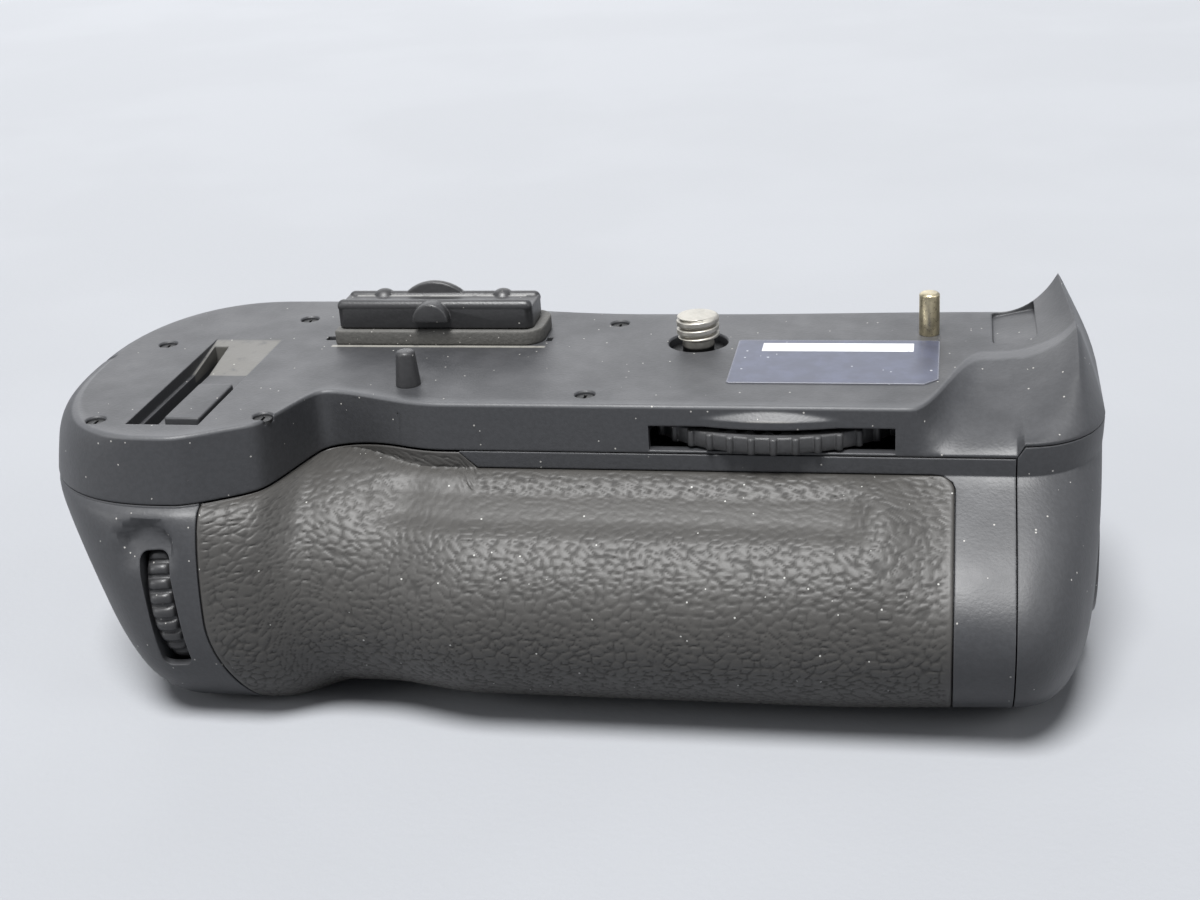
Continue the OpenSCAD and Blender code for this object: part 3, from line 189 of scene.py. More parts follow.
@dataclass(frozen=True)
class Place:
    """A local frame: an origin and three turns about the fixed X, Y and Z axes, in that order."""

    origin: tuple[float, float, float] = (0.0, 0.0, 0.0)
    turns: tuple[float, float, float] = (0.0, 0.0, 0.0)
    then: tuple[float, float, float] = (0.0, 0.0, 0.0)

    def matrix(self) -> Array:
        """Rotation matrix: the turns of "then" about Z, Y and X after those of "turns"."""
        outer, inner = (
            turn(2, t[2]) @ turn(1, t[1]) @ turn(0, t[0]) for t in (self.then, self.turns)
        )
        return outer @ inner

    def world(self, points: Array) -> Array:
        """Local points in the row's frame: the rotation times each point, plus the origin."""
        return points @ self.matrix().T + np.array(self.origin)


def turn(axis: int, degrees: float) -> Array:
    """Rotation matrix about one axis: cosines on the diagonal and sines off it."""
    c, s = math.cos(math.radians(degrees)), math.sin(math.radians(degrees))
    a, b = [(1, 2), (2, 0), (0, 1)][axis]
    made = np.eye(3)
    made[a, a], made[a, b], made[b, a], made[b, b] = c, -s, s, c
    return made


def cells(rows: int, cols: int, wrap_rows: bool = False, wrap_cols: bool = False) -> Array:
    """Corner numbers of a grid's four sided cells.

    Args:
        rows: Number of rows of points.
        cols: Number of points in a row.
        wrap_rows: Whether the last row joins the first.
        wrap_cols: Whether each row's last point joins its first.

    Returns:
        One row of four corner numbers for each cell.
    """
    index = np.arange(rows * cols).reshape(rows, cols)
    if wrap_rows:
        index = np.vstack([index, index[:1]])
    if wrap_cols:
        index = np.hstack([index, index[:, :1]])
    corners = (index[:-1, :-1], index[1:, :-1], index[1:, 1:], index[:-1, 1:])
    return np.stack(corners, -1).reshape(-1, 4)


def loft(rings: Array, ends: Ends = Ends.FLAT, ratio: int = 1) -> Shape:
    """A closed surface through rings of equal length.

    Args:
        rings: Points as rings by points by three.
        ends: FLAT closes each end with one face, STITCHED joins point k of the ring to point k
            from its other end, and LOOPED joins the last ring to the first.
        ratio: With STITCHED, how many steps of the ring's first side face one of its second.

    Returns:
        The shape, with its faces outwards.
    """
    count, size = rings.shape[:2]
    faces = [cells(count, size, wrap_rows=ends is Ends.LOOPED, wrap_cols=True)]
    if ends is Ends.FLAT:
        faces.append(np.arange(size)[None, :])
        faces.append((np.arange(size)[::-1] + (count - 1) * size)[None, :])
    if ends is Ends.STITCHED:
        k = np.arange((size - 2) // (ratio + 1))[:, None]
        closing = [np.hstack([k * ratio + np.arange(ratio + 1), size - 2 - k, size - 1 - k])]
        if ratio == 1 and size % 2:
            closing.append(np.array([[size // 2 - 1, size // 2, size // 2 + 1]]))
        for group in closing:
            faces.append(group)
            faces.append(group[:, ::-1] + (count - 1) * size)
    return Shape(rings.reshape(-1, 3), faces).outward()


def turned(profile: list[tuple[float, float]], count: int = 64, ends: Ends = Ends.FLAT) -> Shape:
    """A turned shape: each profile point (radius, height) runs round the Z axis.

    Args:
        profile: Radius and height pairs along the section.
        count: Points round the axis.
        ends: LOOPED for a ring whose section closes on itself.

    Returns:
        The shape round the Z axis.
    """
    radius, height = np.array(profile, float).T
    angle = np.linspace(0, 2 * math.pi, count, endpoint=False)
    rings = np.stack(
        [
            radius[:, None] * np.cos(angle),
            radius[:, None] * np.sin(angle),
            np.repeat(height[:, None], count, 1),
        ],
        -1,
    )
    return loft(rings, ends)


def soft_profile(corners: list[tuple[float, float]], radius: float, count: int = 4) -> list:
    """A section with rounded corners: near each inner corner a quadratic curve replaces the point.

    Args:
        corners: Corner points of the open section.
        radius: How far from a corner its curve begins, or half the side where that is shorter.
        count: Points on each curve.

    Returns:
        The rounded section as (radius, height) pairs.
    """
    p = np.array(corners, float)
    made = [p[0]]
    for before, corner, after in zip(p[:-2], p[1:-1], p[2:]):
        reach = [min(radius, 0.45 * np.linalg.norm(q - corner)) for q in (before, after)]
        a = corner + (before - corner) / np.linalg.norm(before - corner) * reach[0]
        b = corner + (after - corner) / np.linalg.norm(after - corner) * reach[1]
        u = np.linspace(0, 1, count)[:, None]
        made.extend((1 - u) ** 2 * a + 2 * u * (1 - u) * corner + u * u * b)
    return [tuple(q) for q in [*made, p[-1]]]


def box(low: tuple, high: tuple) -> Shape:
    """A plain box between two corners, used as a cutter."""
    x, y = [low[0], high[0], high[0], low[0]], [low[1], low[1], high[1], high[1]]
    rings = np.array([[(a, b, z) for a, b in zip(x, y)] for z in (low[2], high[2])], float)
    return loft(rings)


def rod(radius: float, low: float, high: float, top_radius: float = 0.0, count: int = 64) -> Shape:
    """A cylinder or cone along Z from low to high."""
    return turned([(radius, low), (top_radius or radius, high)], count)


def bead(radius: float) -> Shape:
    """A round bead: a half circle section turned about Z."""
    a = np.radians(np.linspace(-88, 88, 17))
    return turned(list(zip(radius * np.cos(a), radius * np.sin(a))), 32)


def rounded_outline(length: float, width: float, radius: float | Array, count: int = 6) -> Array:
    """Outline of a rounded rectangle from the origin: four quarter circles joined by sides.

    Args:
        length: Size along X.
        width: Size along Y.
        radius: One radius, or those of the corners from the far right one leftwards round.
        count: Points on each quarter circle.

    Returns:
        The outline's points.
    """
    angle = np.linspace(0, math.pi / 2, count)
    far, near = np.array([1, 0, 0, 1]), np.array([1, 1, 0, 0])
    arcs = []
    for k, r in enumerate(np.broadcast_to(radius, 4)):
        centre = (r + far[k] * (length - 2 * r), r + near[k] * (width - 2 * r))
        a = angle + k * math.pi / 2
        arcs.append(np.stack([centre[0] + r * np.cos(a), centre[1] + r * np.sin(a)], -1))
    return np.concatenate(arcs)


def soft_block(size: tuple, corner: object, edge: float, at: tuple = (0, 0, 0)) -> Shape:
    """A block with round upright corners and rounded rims.

    Ring k is the outline drawn in by edge times (1 - sin a) at height edge times (1 - cos a).

    Args:
        size: Length, width and height.
        corner: Radius of the upright corners, or one for each of them.
        edge: Radius of the upper and lower rims.
        at: Its lowest corner.

    Returns:
        The block.
    """
    angle = np.linspace(0, math.pi / 2, 4)
    inset = edge * (1 - np.sin(angle))
    rise = edge * (1 - np.cos(angle))
    levels = [*zip(inset, rise), *zip(inset[::-1], size[2] - rise[::-1])]
    rings = []
    for draw_in, z in levels:
        flat = rounded_outline(
            size[0] - 2 * draw_in,
            size[1] - 2 * draw_in,
            np.maximum(0.05, np.array(corner) - draw_in),
            8,
        )
        rings.append(np.column_stack([flat + draw_in, np.full(len(flat), z)]))
    return loft(np.array(rings) + np.array(at, float))


# From shapes to pieces


def make_object(name: str, shape: Shape, sharp: float = 38.0) -> bpy.types.Object:
    """Makes a mesh object in metres at the origin.

    Args:
        name: The object's name.
        shape: Its surface.
        sharp: Angle in degrees above which an edge between two faces is a crease.

    Returns:
        The object, linked to the scene.
    """
    sizes = [g.shape[1] for g in shape.faces for _ in range(len(g))]
    corners = np.concatenate([g.ravel() for g in shape.faces]).astype(np.int32)
    mesh = bpy.data.meshes.new(name)
    mesh.vertices.add(len(shape.points))
    mesh.vertices.foreach_set("co", (shape.points * MM).astype(np.float32).ravel())
    mesh.loops.add(len(corners))
    mesh.loops.foreach_set("vertex_index", corners)
    mesh.polygons.add(len(sizes))
    starts = np.concatenate([[0], np.cumsum(sizes)[:-1]]).astype(np.int32)
    mesh.polygons.foreach_set("loop_start", starts)
    mesh.update(calc_edges=True)
    mesh.validate()
    made = bpy.data.objects.new(name, mesh)
    bpy.context.scene.collection.objects.link(made)
    smooth(made, sharp)
    return made


def paint(piece: bpy.types.Object, name: str, values: Array) -> None:
    """Stores one number for every point of a piece, which its finish reads."""
    layer = piece.data.attributes.new(name, "FLOAT", "POINT")
    layer.data.foreach_set("value", values.astype(np.float32).ravel())


def smooth(piece: bpy.types.Object, sharp: float) -> None:
    """Smooth shading, apart from edges where the faces turn by more than sharp degrees."""
    piece.data.shade_smooth()
    piece.data.set_sharp_from_angle(angle=math.radians(sharp))


def carve(
    piece: bpy.types.Object, cutters: list[Shape], sharp: float = 38.0, add: bool = False
) -> bpy.types.Object:
    """Cuts shapes out of a piece, or adds them to it.

    Args:
        piece: The piece, which keeps its name.
        cutters: The shapes, taken one after the other.
        sharp: Crease angle of the result in degrees.
        add: Whether the shapes are joined on instead.

    Returns:
        The piece with its new mesh.
    """
    tools = [make_object(f"cutter_{i}", cutter.outward()) for i, cutter in enumerate(cutters)]
    for tool in tools:
        change = piece.modifiers.new(tool.name, "BOOLEAN")
        change.operation = "UNION" if add else "DIFFERENCE"
        change.solver = "MANIFOLD"
        change.object = tool
    graph = bpy.context.evaluated_depsgraph_get()
    made = bpy.data.meshes.new_from_object(piece.evaluated_get(graph), depsgraph=graph)
    piece.modifiers.clear()
    old, piece.data = piece.data, made
    bpy.data.meshes.remove(old)
    for tool in tools:
        mesh = tool.data
        bpy.data.objects.remove(tool)
        bpy.data.meshes.remove(mesh)
    smooth(piece, sharp)
    return piece


def take_shape(piece: bpy.types.Object) -> Shape:
    """Reads a scratch object's mesh back as a shape and removes the object."""
    mesh = piece.data
    mesh.calc_loop_triangles()
    points = np.zeros(len(mesh.vertices) * 3, np.float32)
    mesh.vertices.foreach_get("co", points)
    corners = np.zeros(len(mesh.loop_triangles) * 3, np.int32)
    mesh.loop_triangles.foreach_get("vertices", corners)
    made = Shape(points.reshape(-1, 3).astype(float) / MM, [corners.reshape(-1, 3)])
    bpy.data.objects.remove(piece)
    bpy.data.meshes.remove(mesh)
    return made


def settle(
    piece: bpy.types.Object, body: Body, slot: Slot, material: bpy.types.Material, *nodes: str
) -> bpy.types.Object:
    """Gives a finished piece its material and body, and lets it stand for CAD nodes."""
    piece.data.materials.clear()
    piece.data.materials.append(material)
    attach(piece, body.value)
    if nodes:
        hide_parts(*nodes)
    log.info("%s: %d faces on %s", piece.name, len(piece.data.polygons), body.value)
    return piece


def carry_over(material: bpy.types.Material, *nodes: str) -> None:
    """Keeps CAD nodes as they are and gives them a finish."""
    for name in nodes:
        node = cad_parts[name]
        node.data.materials.clear()
        node.data.materials.append(material)
        log.info("%s: carried over", name)


# Finishes


def seen_rays(tree: bpy.types.NodeTree) -> object:
    """Adds nodes that tell rays of sight from rays of light.

    Args:
        tree: The node tree of a material or of the world.

    Returns:
        A socket that gives 1 for rays from the camera, a glossy face or glass, else 0.
    """
    rays = tree.nodes.new("ShaderNodeLightPath")
    made = rays.outputs["Is Camera Ray"]
    for name in ("Is Glossy Ray", "Is Transmission Ray"):
        node = tree.nodes.new("ShaderNodeMath")
        node.operation = "MAXIMUM"
        tree.links.new(made, node.inputs[0])
        tree.links.new(rays.outputs[name], node.inputs[1])
        made = node.outputs[0]
    return made


class Graph:
    """Node tree of one material, with short calls for the nodes that the finishes use."""

    def __init__(self, name: str) -> None:
        """Makes an empty material with its shader and its object coordinates."""
        self.material = bpy.data.materials.new(name)
        self.material.use_nodes = True
        self.tree = self.material.node_tree
        self.tree.nodes.clear()
        self.shader = self.tree.nodes.new("ShaderNodeBsdfPrincipled")
        out = self.tree.nodes.new("ShaderNodeOutputMaterial")
        self.tree.links.new(self.shader.outputs[0], out.inputs[0])
        self.place = self.tree.nodes.new("ShaderNodeTexCoord").outputs["Object"]

    def feed(self, socket: bpy.types.NodeSocket, value: object) -> None:
        """Links a socket to another one, or sets its value."""
        if isinstance(value, bpy.types.NodeSocket):
            self.tree.links.new(value, socket)
        else:
            socket.default_value = value

    def noise(self, scale: float, detail: float = 3.0, rough: float = 0.55) -> object:
        """Fractal noise on the object's coordinates, with scale in cells per metre."""
        node = self.tree.nodes.new("ShaderNodeTexNoise")
        self.feed(node.inputs["Vector"], self.place)
        node.inputs["Scale"].default_value = scale
        node.inputs["Detail"].default_value = detail
        node.inputs["Roughness"].default_value = rough
        return node.outputs["Fac"]

    def spots(self, scale: float) -> tuple[object, object]:
        """Scattered spots: distance to each cell's centre, and one random value a cell."""
        node = self.tree.nodes.new("ShaderNodeTexVoronoi")
        self.feed(node.inputs["Vector"], self.place)
        node.inputs["Scale"].default_value = scale
        split = self.tree.nodes.new("ShaderNodeSeparateColor")
        self.feed(split.inputs[0], node.outputs["Color"])
        return node.outputs["Distance"], split.outputs[0]

    def math(self, kind: str, a: object, b: object = 0.0) -> object:
        """One arithmetic node."""
        node = self.tree.nodes.new("ShaderNodeMath")
        node.operation = kind
        self.feed(node.inputs[0], a)
        self.feed(node.inputs[1], b)
        return node.outputs[0]

    def ramp(self, value: object, low: float, high: float, to: tuple = (0.0, 1.0)) -> object:
        """A smooth step: value from low to high becomes the range "to"."""
        node = self.tree.nodes.new("ShaderNodeMapRange")
        node.interpolation_type = "SMOOTHSTEP"
        for socket, given in zip(node.inputs, (value, low, high, *to)):
            self.feed(socket, given)
        return node.outputs[0]

    def blend(self, share: object, a: object, b: object) -> object:
        """Colour a where share is 0 and b where it is 1."""
        node = self.tree.nodes.new("ShaderNodeMix")
        node.data_type = "RGBA"
        colours = [s for s in node.inputs if s.type == "RGBA"]
        self.feed(node.inputs[0], share)
        for socket, given in zip(colours, (a, b)):
            self.feed(socket, given if isinstance(given, bpy.types.NodeSocket) else (*given, 1.0))
        return next(s for s in node.outputs if s.type == "RGBA")

    def edges(self, radius: float) -> tuple[object, object]:
        """Rounded normals, and how far they lean from the face's own: large along edges."""
        bevel = self.tree.nodes.new("ShaderNodeBevel")
        bevel.samples = 4
        bevel.inputs["Radius"].default_value = radius * MM
        geometry = self.tree.nodes.new("ShaderNodeNewGeometry")
        dot = self.tree.nodes.new("ShaderNodeVectorMath")
        dot.operation = "DOT_PRODUCT"
        self.feed(dot.inputs[0], bevel.outputs[0])
        self.feed(dot.inputs[1], geometry.outputs["Normal"])
        return bevel.outputs[0], self.math("SUBTRACT", 1.0, dot.outputs["Value"])

    def upward(self) -> object:
        """The height of the face's normal: 1 on a level top, 0 on a wall."""
        geometry = self.tree.nodes.new("ShaderNodeNewGeometry")
        split = self.tree.nodes.new("ShaderNodeSeparateXYZ")
        self.feed(split.inputs[0], geometry.outputs["Normal"])
        return split.outputs[2]

    def painted(self, name: str) -> object:
        """A number that the mesh stores for every point, or 0 where it stores none."""
        node = self.tree.nodes.new("ShaderNodeAttribute")
        node.attribute_name = name
        return node.outputs["Fac"]

    def inside(self, low: tuple, high: tuple, soft: float = 0.12) -> object:
        """1 inside a box of the part's own coordinates, in millimetres, with soft borders."""
        split = self.tree.nodes.new("ShaderNodeSeparateXYZ")
        self.feed(split.inputs[0], self.place)
        shares = []
        for axis in range(3):
            a, b = low[axis] * MM, high[axis] * MM
            half = soft * MM
            shares.append(self.ramp(split.outputs[axis], a - half, a + half))
            shares.append(self.ramp(split.outputs[axis], b - half, b + half, (1.0, 0.0)))
        made = shares[0]
        for share in shares[1:]:
            made = self.math("MULTIPLY", made, share)
        return made

    def relief(self, height: object, depth: float, normal: object = None) -> object:
        """A bump of the given depth in millimetres, over another normal where one is given."""
        node = self.tree.nodes.new("ShaderNodeBump")
        node.inputs["Strength"].default_value = 1.0
        node.inputs["Distance"].default_value = depth * MM
        self.feed(node.inputs["Height"], height)
        if normal is not None:
            self.feed(node.inputs["Normal"], normal)
        return node.outputs[0]

    def finish(self, colour: object, rough: object, normal: object) -> bpy.types.Material:
        """Puts colour, roughness and normal on the shader and returns the material."""
        if not isinstance(colour, bpy.types.NodeSocket):
            colour = (*colour, 1.0)
        self.feed(self.shader.inputs["Base Color"], colour)
        self.feed(self.shader.inputs["Roughness"], rough)
        self.feed(self.shader.inputs["Normal"], normal)
        return self.material


@dataclass(frozen=True)
class PlasticFinish:
    """Moulded plastic: fine even texture, edges paler from wear and a painted highlight, thin dust,
    scattered specks.
    """

    name: str
    colour: tuple[float, float, float]
    rough: float = 0.5
    texture_depth: float = 0.03
    edge_wear_and_highlight: float = 0.6
    dust: float = 0.6
    specks: float = 0.045
    gloss: float = 0.5
    patches: tuple = ()

    def make(self) -> bpy.types.Material:
        """Builds the material.

        Returns:
            A material whose colour is the plastic's, lighter where broad noise, dust on level faces
            and the edges add to it. The paler edges are partly rubbed wear and partly a painted
            edge highlight.
        """
        g = Graph(self.name)
        broad = g.noise(45.0, 4.0, 0.6)
        fine = g.noise(2100.0, 2.0)
        rounded, edge = g.edges(0.35)
        pale = tuple(min(1.0, 2.4 * c + 0.05) for c in self.colour)
        dark = tuple(0.78 * c for c in self.colour)
        grit = g.ramp(g.noise(1500.0, 3.0), 0.35, 0.65)
        colour = g.blend(g.math("ADD", g.math("MULTIPLY", grit, 0.7), 0.3), dark, self.colour)
        # Tinted patches in boxes of the part's own coordinates; on the casing some of them are
        # painted light.
        for low, high, tint, share in self.patches:
            mask = g.math("MULTIPLY", g.inside(low, high), g.ramp(g.noise(500.0), 0.1, 0.5))
            colour = g.blend(g.math("MULTIPLY", mask, share), colour, tint)
        film = g.math("MULTIPLY", g.ramp(g.upward(), 0.55, 0.98), g.ramp(g.noise(160.0), 0.3, 0.8))
        colour = g.blend(g.math("MULTIPLY", film, 0.2 * self.dust), colour, (0.2, 0.2, 0.21))
        # Paler edges: partly rubbed wear, partly a painted edge highlight.
        worn = g.math("MAXIMUM", g.ramp(edge, 0.02, 0.2), g.painted("edge_wear_and_highlight"))
        colour = g.blend(g.math("MULTIPLY", worn, self.edge_wear_and_highlight), colour, pale)
        near, chance = g.spots(1300.0)
        speck = g.math("LESS_THAN", near, g.math("MULTIPLY", chance, 0.17))
        picked = g.math("GREATER_THAN", chance, 1.0 - self.specks)
        colour = g.blend(g.math("MULTIPLY", speck, picked), colour, (0.36, 0.35, 0.33))
        rough = g.ramp(broad, 0.3, 0.7, (self.rough - 0.05, self.rough + 0.07))
        g.shader.inputs["Specular IOR Level"].default_value = self.gloss
        return g.finish(colour, rough, g.relief(fine, self.texture_depth, rounded))


@dataclass(frozen=True)
class RubberFinish:
    """Grained rubber: cracks between pebbles darkened with painted shade, and rubbed tops."""

    name: str
    colour: tuple[float, float, float]
    rough: float = 0.5

    def make(self) -> bpy.types.Material:
        """Builds the material.

        Returns:
            A material that reads the mesh's own "grain" attribute, 0 in a crack and 1 on a pebble,
            for its colour and roughness. The cracks' darker colour is painted shade.
        """
        g = Graph(self.name)
        height = g.painted("grain")
        broad = g.noise(60.0, 4.0, 0.6)
        fine = g.noise(3000.0, 3.0)
        # Painted shade: the cracks between pebbles get a darker colour, 0.6 of the rubber's.
        dark = tuple(0.6 * c for c in self.colour)
        pale = tuple(1.5 * c for c in self.colour)
        colour = g.blend(g.ramp(height, 0.0, 0.9), dark, self.colour)
        colour = g.blend(g.math("MULTIPLY", g.ramp(broad, 0.45, 0.8), 0.5), colour, pale)
        near, chance = g.spots(1250.0)
        speck = g.math("LESS_THAN", near, g.math("MULTIPLY", chance, 0.17))
        picked = g.math("GREATER_THAN", chance, 0.97)
        colour = g.blend(g.math("MULTIPLY", speck, picked), colour, (0.4, 0.4, 0.38))
        rough = g.ramp(height, 0.0, 1.0, (self.rough + 0.2, self.rough))
        return g.finish(colour, rough, g.relief(fine, 0.02))


@dataclass(frozen=True)
class MetalFinish:
    """Plated or plain metal with fine drawn marks, slight cloudy stains, and painted shade below a
    given height.
    """

    name: str
    colour: tuple[float, float, float]
    rough: float = 0.3
    stain: float = 0.3
    painted_shade_below: float = -100.0

    def make(self) -> bpy.types.Material:
        """Builds the material: noise stains the colour and varies the roughness; below a given
        height painted shade turns it near black.
        """
        g = Graph(self.name)
        g.shader.inputs["Metallic"].default_value = 1.0
        marks = g.noise(2400.0, 3.0)
        cloud = g.noise(420.0, 3.0)
        dark = tuple((1 - self.stain) * c for c in self.colour)
        rounded, _ = g.edges(0.12)
        colour = g.blend(g.ramp(cloud, 0.3, 0.6), dark, self.colour)
        split = g.tree.nodes.new("ShaderNodeSeparateXYZ")
        g.feed(split.inputs[0], g.place)
        # Painted shade: near black below the given height, down in the part's hole.
        low = self.painted_shade_below * MM
        colour = g.blend(g.ramp(split.outputs[2], low - 0.4 * MM, low), (0.03, 0.03, 0.03), colour)
        rough = g.ramp(marks, 0.3, 0.7, (self.rough - 0.06, self.rough + 0.1))
        return g.finish(colour, rough, g.relief(marks, 0.004, rounded))


@dataclass(frozen=True)
class LabelFinish:
    """Bare printed film: a slate field with a plain white strip, and rubbed edges."""

    name: str
    colour: tuple[float, float, float]
    strip_low: tuple[float, float]
    strip_high: tuple[float, float]

    def make(self) -> bpy.types.Material:
        """Builds the material.

        Returns:
            A material that is white inside the strip's rectangle, which is the product of four
            smooth steps on X and Y, and slate elsewhere.
        """
        g = Graph(self.name)
        split = g.tree.nodes.new("ShaderNodeSeparateXYZ")
        g.feed(split.inputs[0], g.place)
        soft = 0.08 * MM
        inside = 1.0
        for axis in (0, 1):
            low, high = self.strip_low[axis] * MM, self.strip_high[axis] * MM
            rise = g.ramp(split.outputs[axis], low - soft, low + soft)
            inside = g.math("MULTIPLY", inside, rise)
            after = g.ramp(split.outputs[axis], high - soft, high + soft, (1.0, 0.0))
            inside = g.math("MULTIPLY", inside, after)
        _, edge = g.edges(0.4)
        cloud = g.noise(260.0, 4.0, 0.65)
        lighter = tuple(1.5 * c for c in self.colour)
        slate = g.blend(g.ramp(cloud, 0.35, 0.75), self.colour, lighter)
        white = g.blend(g.ramp(cloud, 0.5, 0.8), (0.66, 0.67, 0.68), (0.5, 0.5, 0.5))
        colour = g.blend(inside, slate, white)
        worn = g.math("MULTIPLY", g.ramp(edge, 0.02, 0.25), 0.6)
        colour = g.blend(worn, colour, (0.35, 0.35, 0.36))
        near, chance = g.spots(900.0)
        scuff = g.math("LESS_THAN", near, g.math("MULTIPLY", chance, 0.18))
        picked = g.math("GREATER_THAN", chance, 0.9)
        colour = g.blend(g.math("MULTIPLY", scuff, picked), colour, (0.4, 0.41, 0.44))
        return g.finish(colour, 0.38, g.relief(cloud, 0.01))


@dataclass(frozen=True)
class Finishes:
    """Every finish of the grip, made once."""

    casing: bpy.types.Material = field(
        default_factory=PlasticFinish(
            "casing_satin",
            (0.036, 0.037, 0.04),
            rough=0.46,
            edge_wear_and_highlight=0.35,
            patches=(
                # Partly dust and partly painted light: a paler warm tint on the cap holder's ramp,
                # which faces the lamp.
                ((-76.3, -11.0, -3.0), (-65.7, 0.3, -0.04), (0.15, 0.145, 0.13), 0.7),
                # Painted highlight: a paler tint on the upward face of the brow over the wheel's
                # slot.
                ((4.0, -30.0, -1.9), (22.0, -26.95, -0.7), (0.17, 0.165, 0.15), 0.5),
                ((-56.6, -2.9, -0.2), (-23.0, -2.1, 0.1), (0.3, 0.29, 0.26), 0.8),
            ),
        ).make
    )
    control: bpy.types.Material = field(
        default_factory=PlasticFinish("control_satin", (0.026, 0.026, 0.027), rough=0.4).make
    )
    cap: bpy.types.Material = field(
        default_factory=PlasticFinish(
            "cap_satin",
            (0.026, 0.026, 0.027),
            rough=0.38,
            patches=(
                ((-50.9, 0.0, 5.0), (-48.7, 1.75, 7.0), (0.7, 0.7, 0.68), 0.9),
                ((-32.1, 0.0, 5.0), (-29.9, 1.75, 7.0), (0.7, 0.7, 0.68), 0.9),
                ((-54.0, 4.4, 5.2), (-27.0, 4.9, 5.75), (0.45, 0.45, 0.43), 0.7),
            ),
        ).make
    )
    dusty: bpy.types.Material = field(
        default_factory=PlasticFinish(
            "wheel_dusty", (0.04, 0.04, 0.041), rough=0.42, edge_wear_and_highlight=0.5, dust=1.2, specks=0.06
        ).make
    )
    gritty: bpy.types.Material = field(
        default_factory=PlasticFinish(
            "collar_gritty",
            (0.085, 0.083, 0.077),
            rough=0.7,
            texture_depth=0.08,
            dust=0.8,
            specks=0.3,
        ).make
    )
    insulator: bpy.types.Material = field(
        default_factory=PlasticFinish("insulator_black", (0.015, 0.015, 0.015), edge_wear_and_highlight=0.2).make
    )
    tray: bpy.types.Material = field(
        default_factory=PlasticFinish("tray_black", (0.025, 0.025, 0.026), edge_wear_and_highlight=0.3).make
    )
    board: bpy.types.Material = field(
        default_factory=PlasticFinish("board_lacquer", (0.015, 0.08, 0.04), rough=0.3).make
    )
    rubber: bpy.types.Material = field(
        default_factory=RubberFinish("cover_rubber", (0.044, 0.042, 0.039)).make
    )
    label: bpy.types.Material = field(
        default_factory=LabelFinish(
            "label_film", (0.036, 0.042, 0.07), (9.9, -4.3), (31.8, -0.9)
        ).make
    )
    nickel: bpy.types.Material = field(
        default_factory=MetalFinish("screw_nickel", (0.6, 0.58, 0.53), rough=0.4, stain=0.15).make
    )
    threaded: bpy.types.Material = field(
        default_factory=MetalFinish(
            "threaded_nickel", (0.5, 0.48, 0.43), rough=0.46, stain=0.15, painted_shade_below=-0.1
        ).make
    )
    blackened: bpy.types.Material = field(
        default_factory=MetalFinish("blackened_steel", (0.07, 0.07, 0.07), rough=0.45).make
    )
    brass: bpy.types.Material = field(
        default_factory=MetalFinish("pin_brass", (0.56, 0.49, 0.33), rough=0.32).make
    )
    gold: bpy.types.Material = field(
        default_factory=MetalFinish("contact_gold", (0.78, 0.58, 0.25), rough=0.25).make
    )
    steel: bpy.types.Material = field(
        default_factory=MetalFinish("plain_steel", (0.42, 0.42, 0.43), rough=0.34).make
    )


# Places that several pieces share

CHAMBER_Z = -26.5
WHEEL_AT = (12.9, -6.39922)
FRONT_DIAL = Place((-71.0, -32.5, -24.9), (0, -4.5, 0))
REAR_DIAL = Place((-73.0, 22.6, -25.0))
SHUTTER = Place((-89.0, -13.0, -24.0), (0, -113, 0), (0, 0, 7))
FOCUS = Place((-62.0, 30.6, -18.2), (-42, 0, 0))
SELECTOR = Place((-56.0, 33.8, -31.0), (-90, 0, 0))
BASE_SCREWS = ((-67, -25), (-67, 12), (-24, -20), (38, -18), (26, 14.5), (-30, 16))
PLATE_SCREWS = (
    (-83.6, -2.1),
    (-81.5, -33.6),
    (-64.3, 10.0),
    (-57.4, -31.4),
    (-13.3, 8.3),
    (-13.2, -21.9),
)


# The body's form


@dataclass(frozen=True)
class Stations:
    """Sections along the body. Round the left end they fan out from the bulge's widest place."""

    base: Array
    sweep: Array
    front_width: Array
    back_width: Array

    @staticmethod
    def along(form: "BodyForm", xs: Array, end_count: int = 34) -> "Stations":
        """Sections at the given places, led by the fan round the left end.

        Args:
            form: The body's sizes.
            xs: Places along X, from the bulge rightwards.
            end_count: Sections in the fan, or 0 for none.

        Returns:
            Column arrays. In the fan the sweep is sin(t) to the power 2 / n, and each side's width
            is the root n of 1 - sweep^n, as on a superellipse.
        """
        t = np.radians(np.linspace(89.0, 2.5, end_count)) if end_count else np.zeros(0)
        sweep = np.minimum(np.sin(t) ** (2 / form.front_power), math.sin(math.radians(89)))
        widths = [(1 - sweep**n) ** (1 / n) for n in (form.front_power, form.back_power)]
        ones = np.ones(len(xs))
        return Stations(
            np.concatenate([np.full(end_count, -form.bulge_x), xs])[:, None],
            np.concatenate([sweep, 0 * xs])[:, None],
            np.concatenate([widths[0], ones])[:, None],
            np.concatenate([widths[1], ones])[:, None],
        )


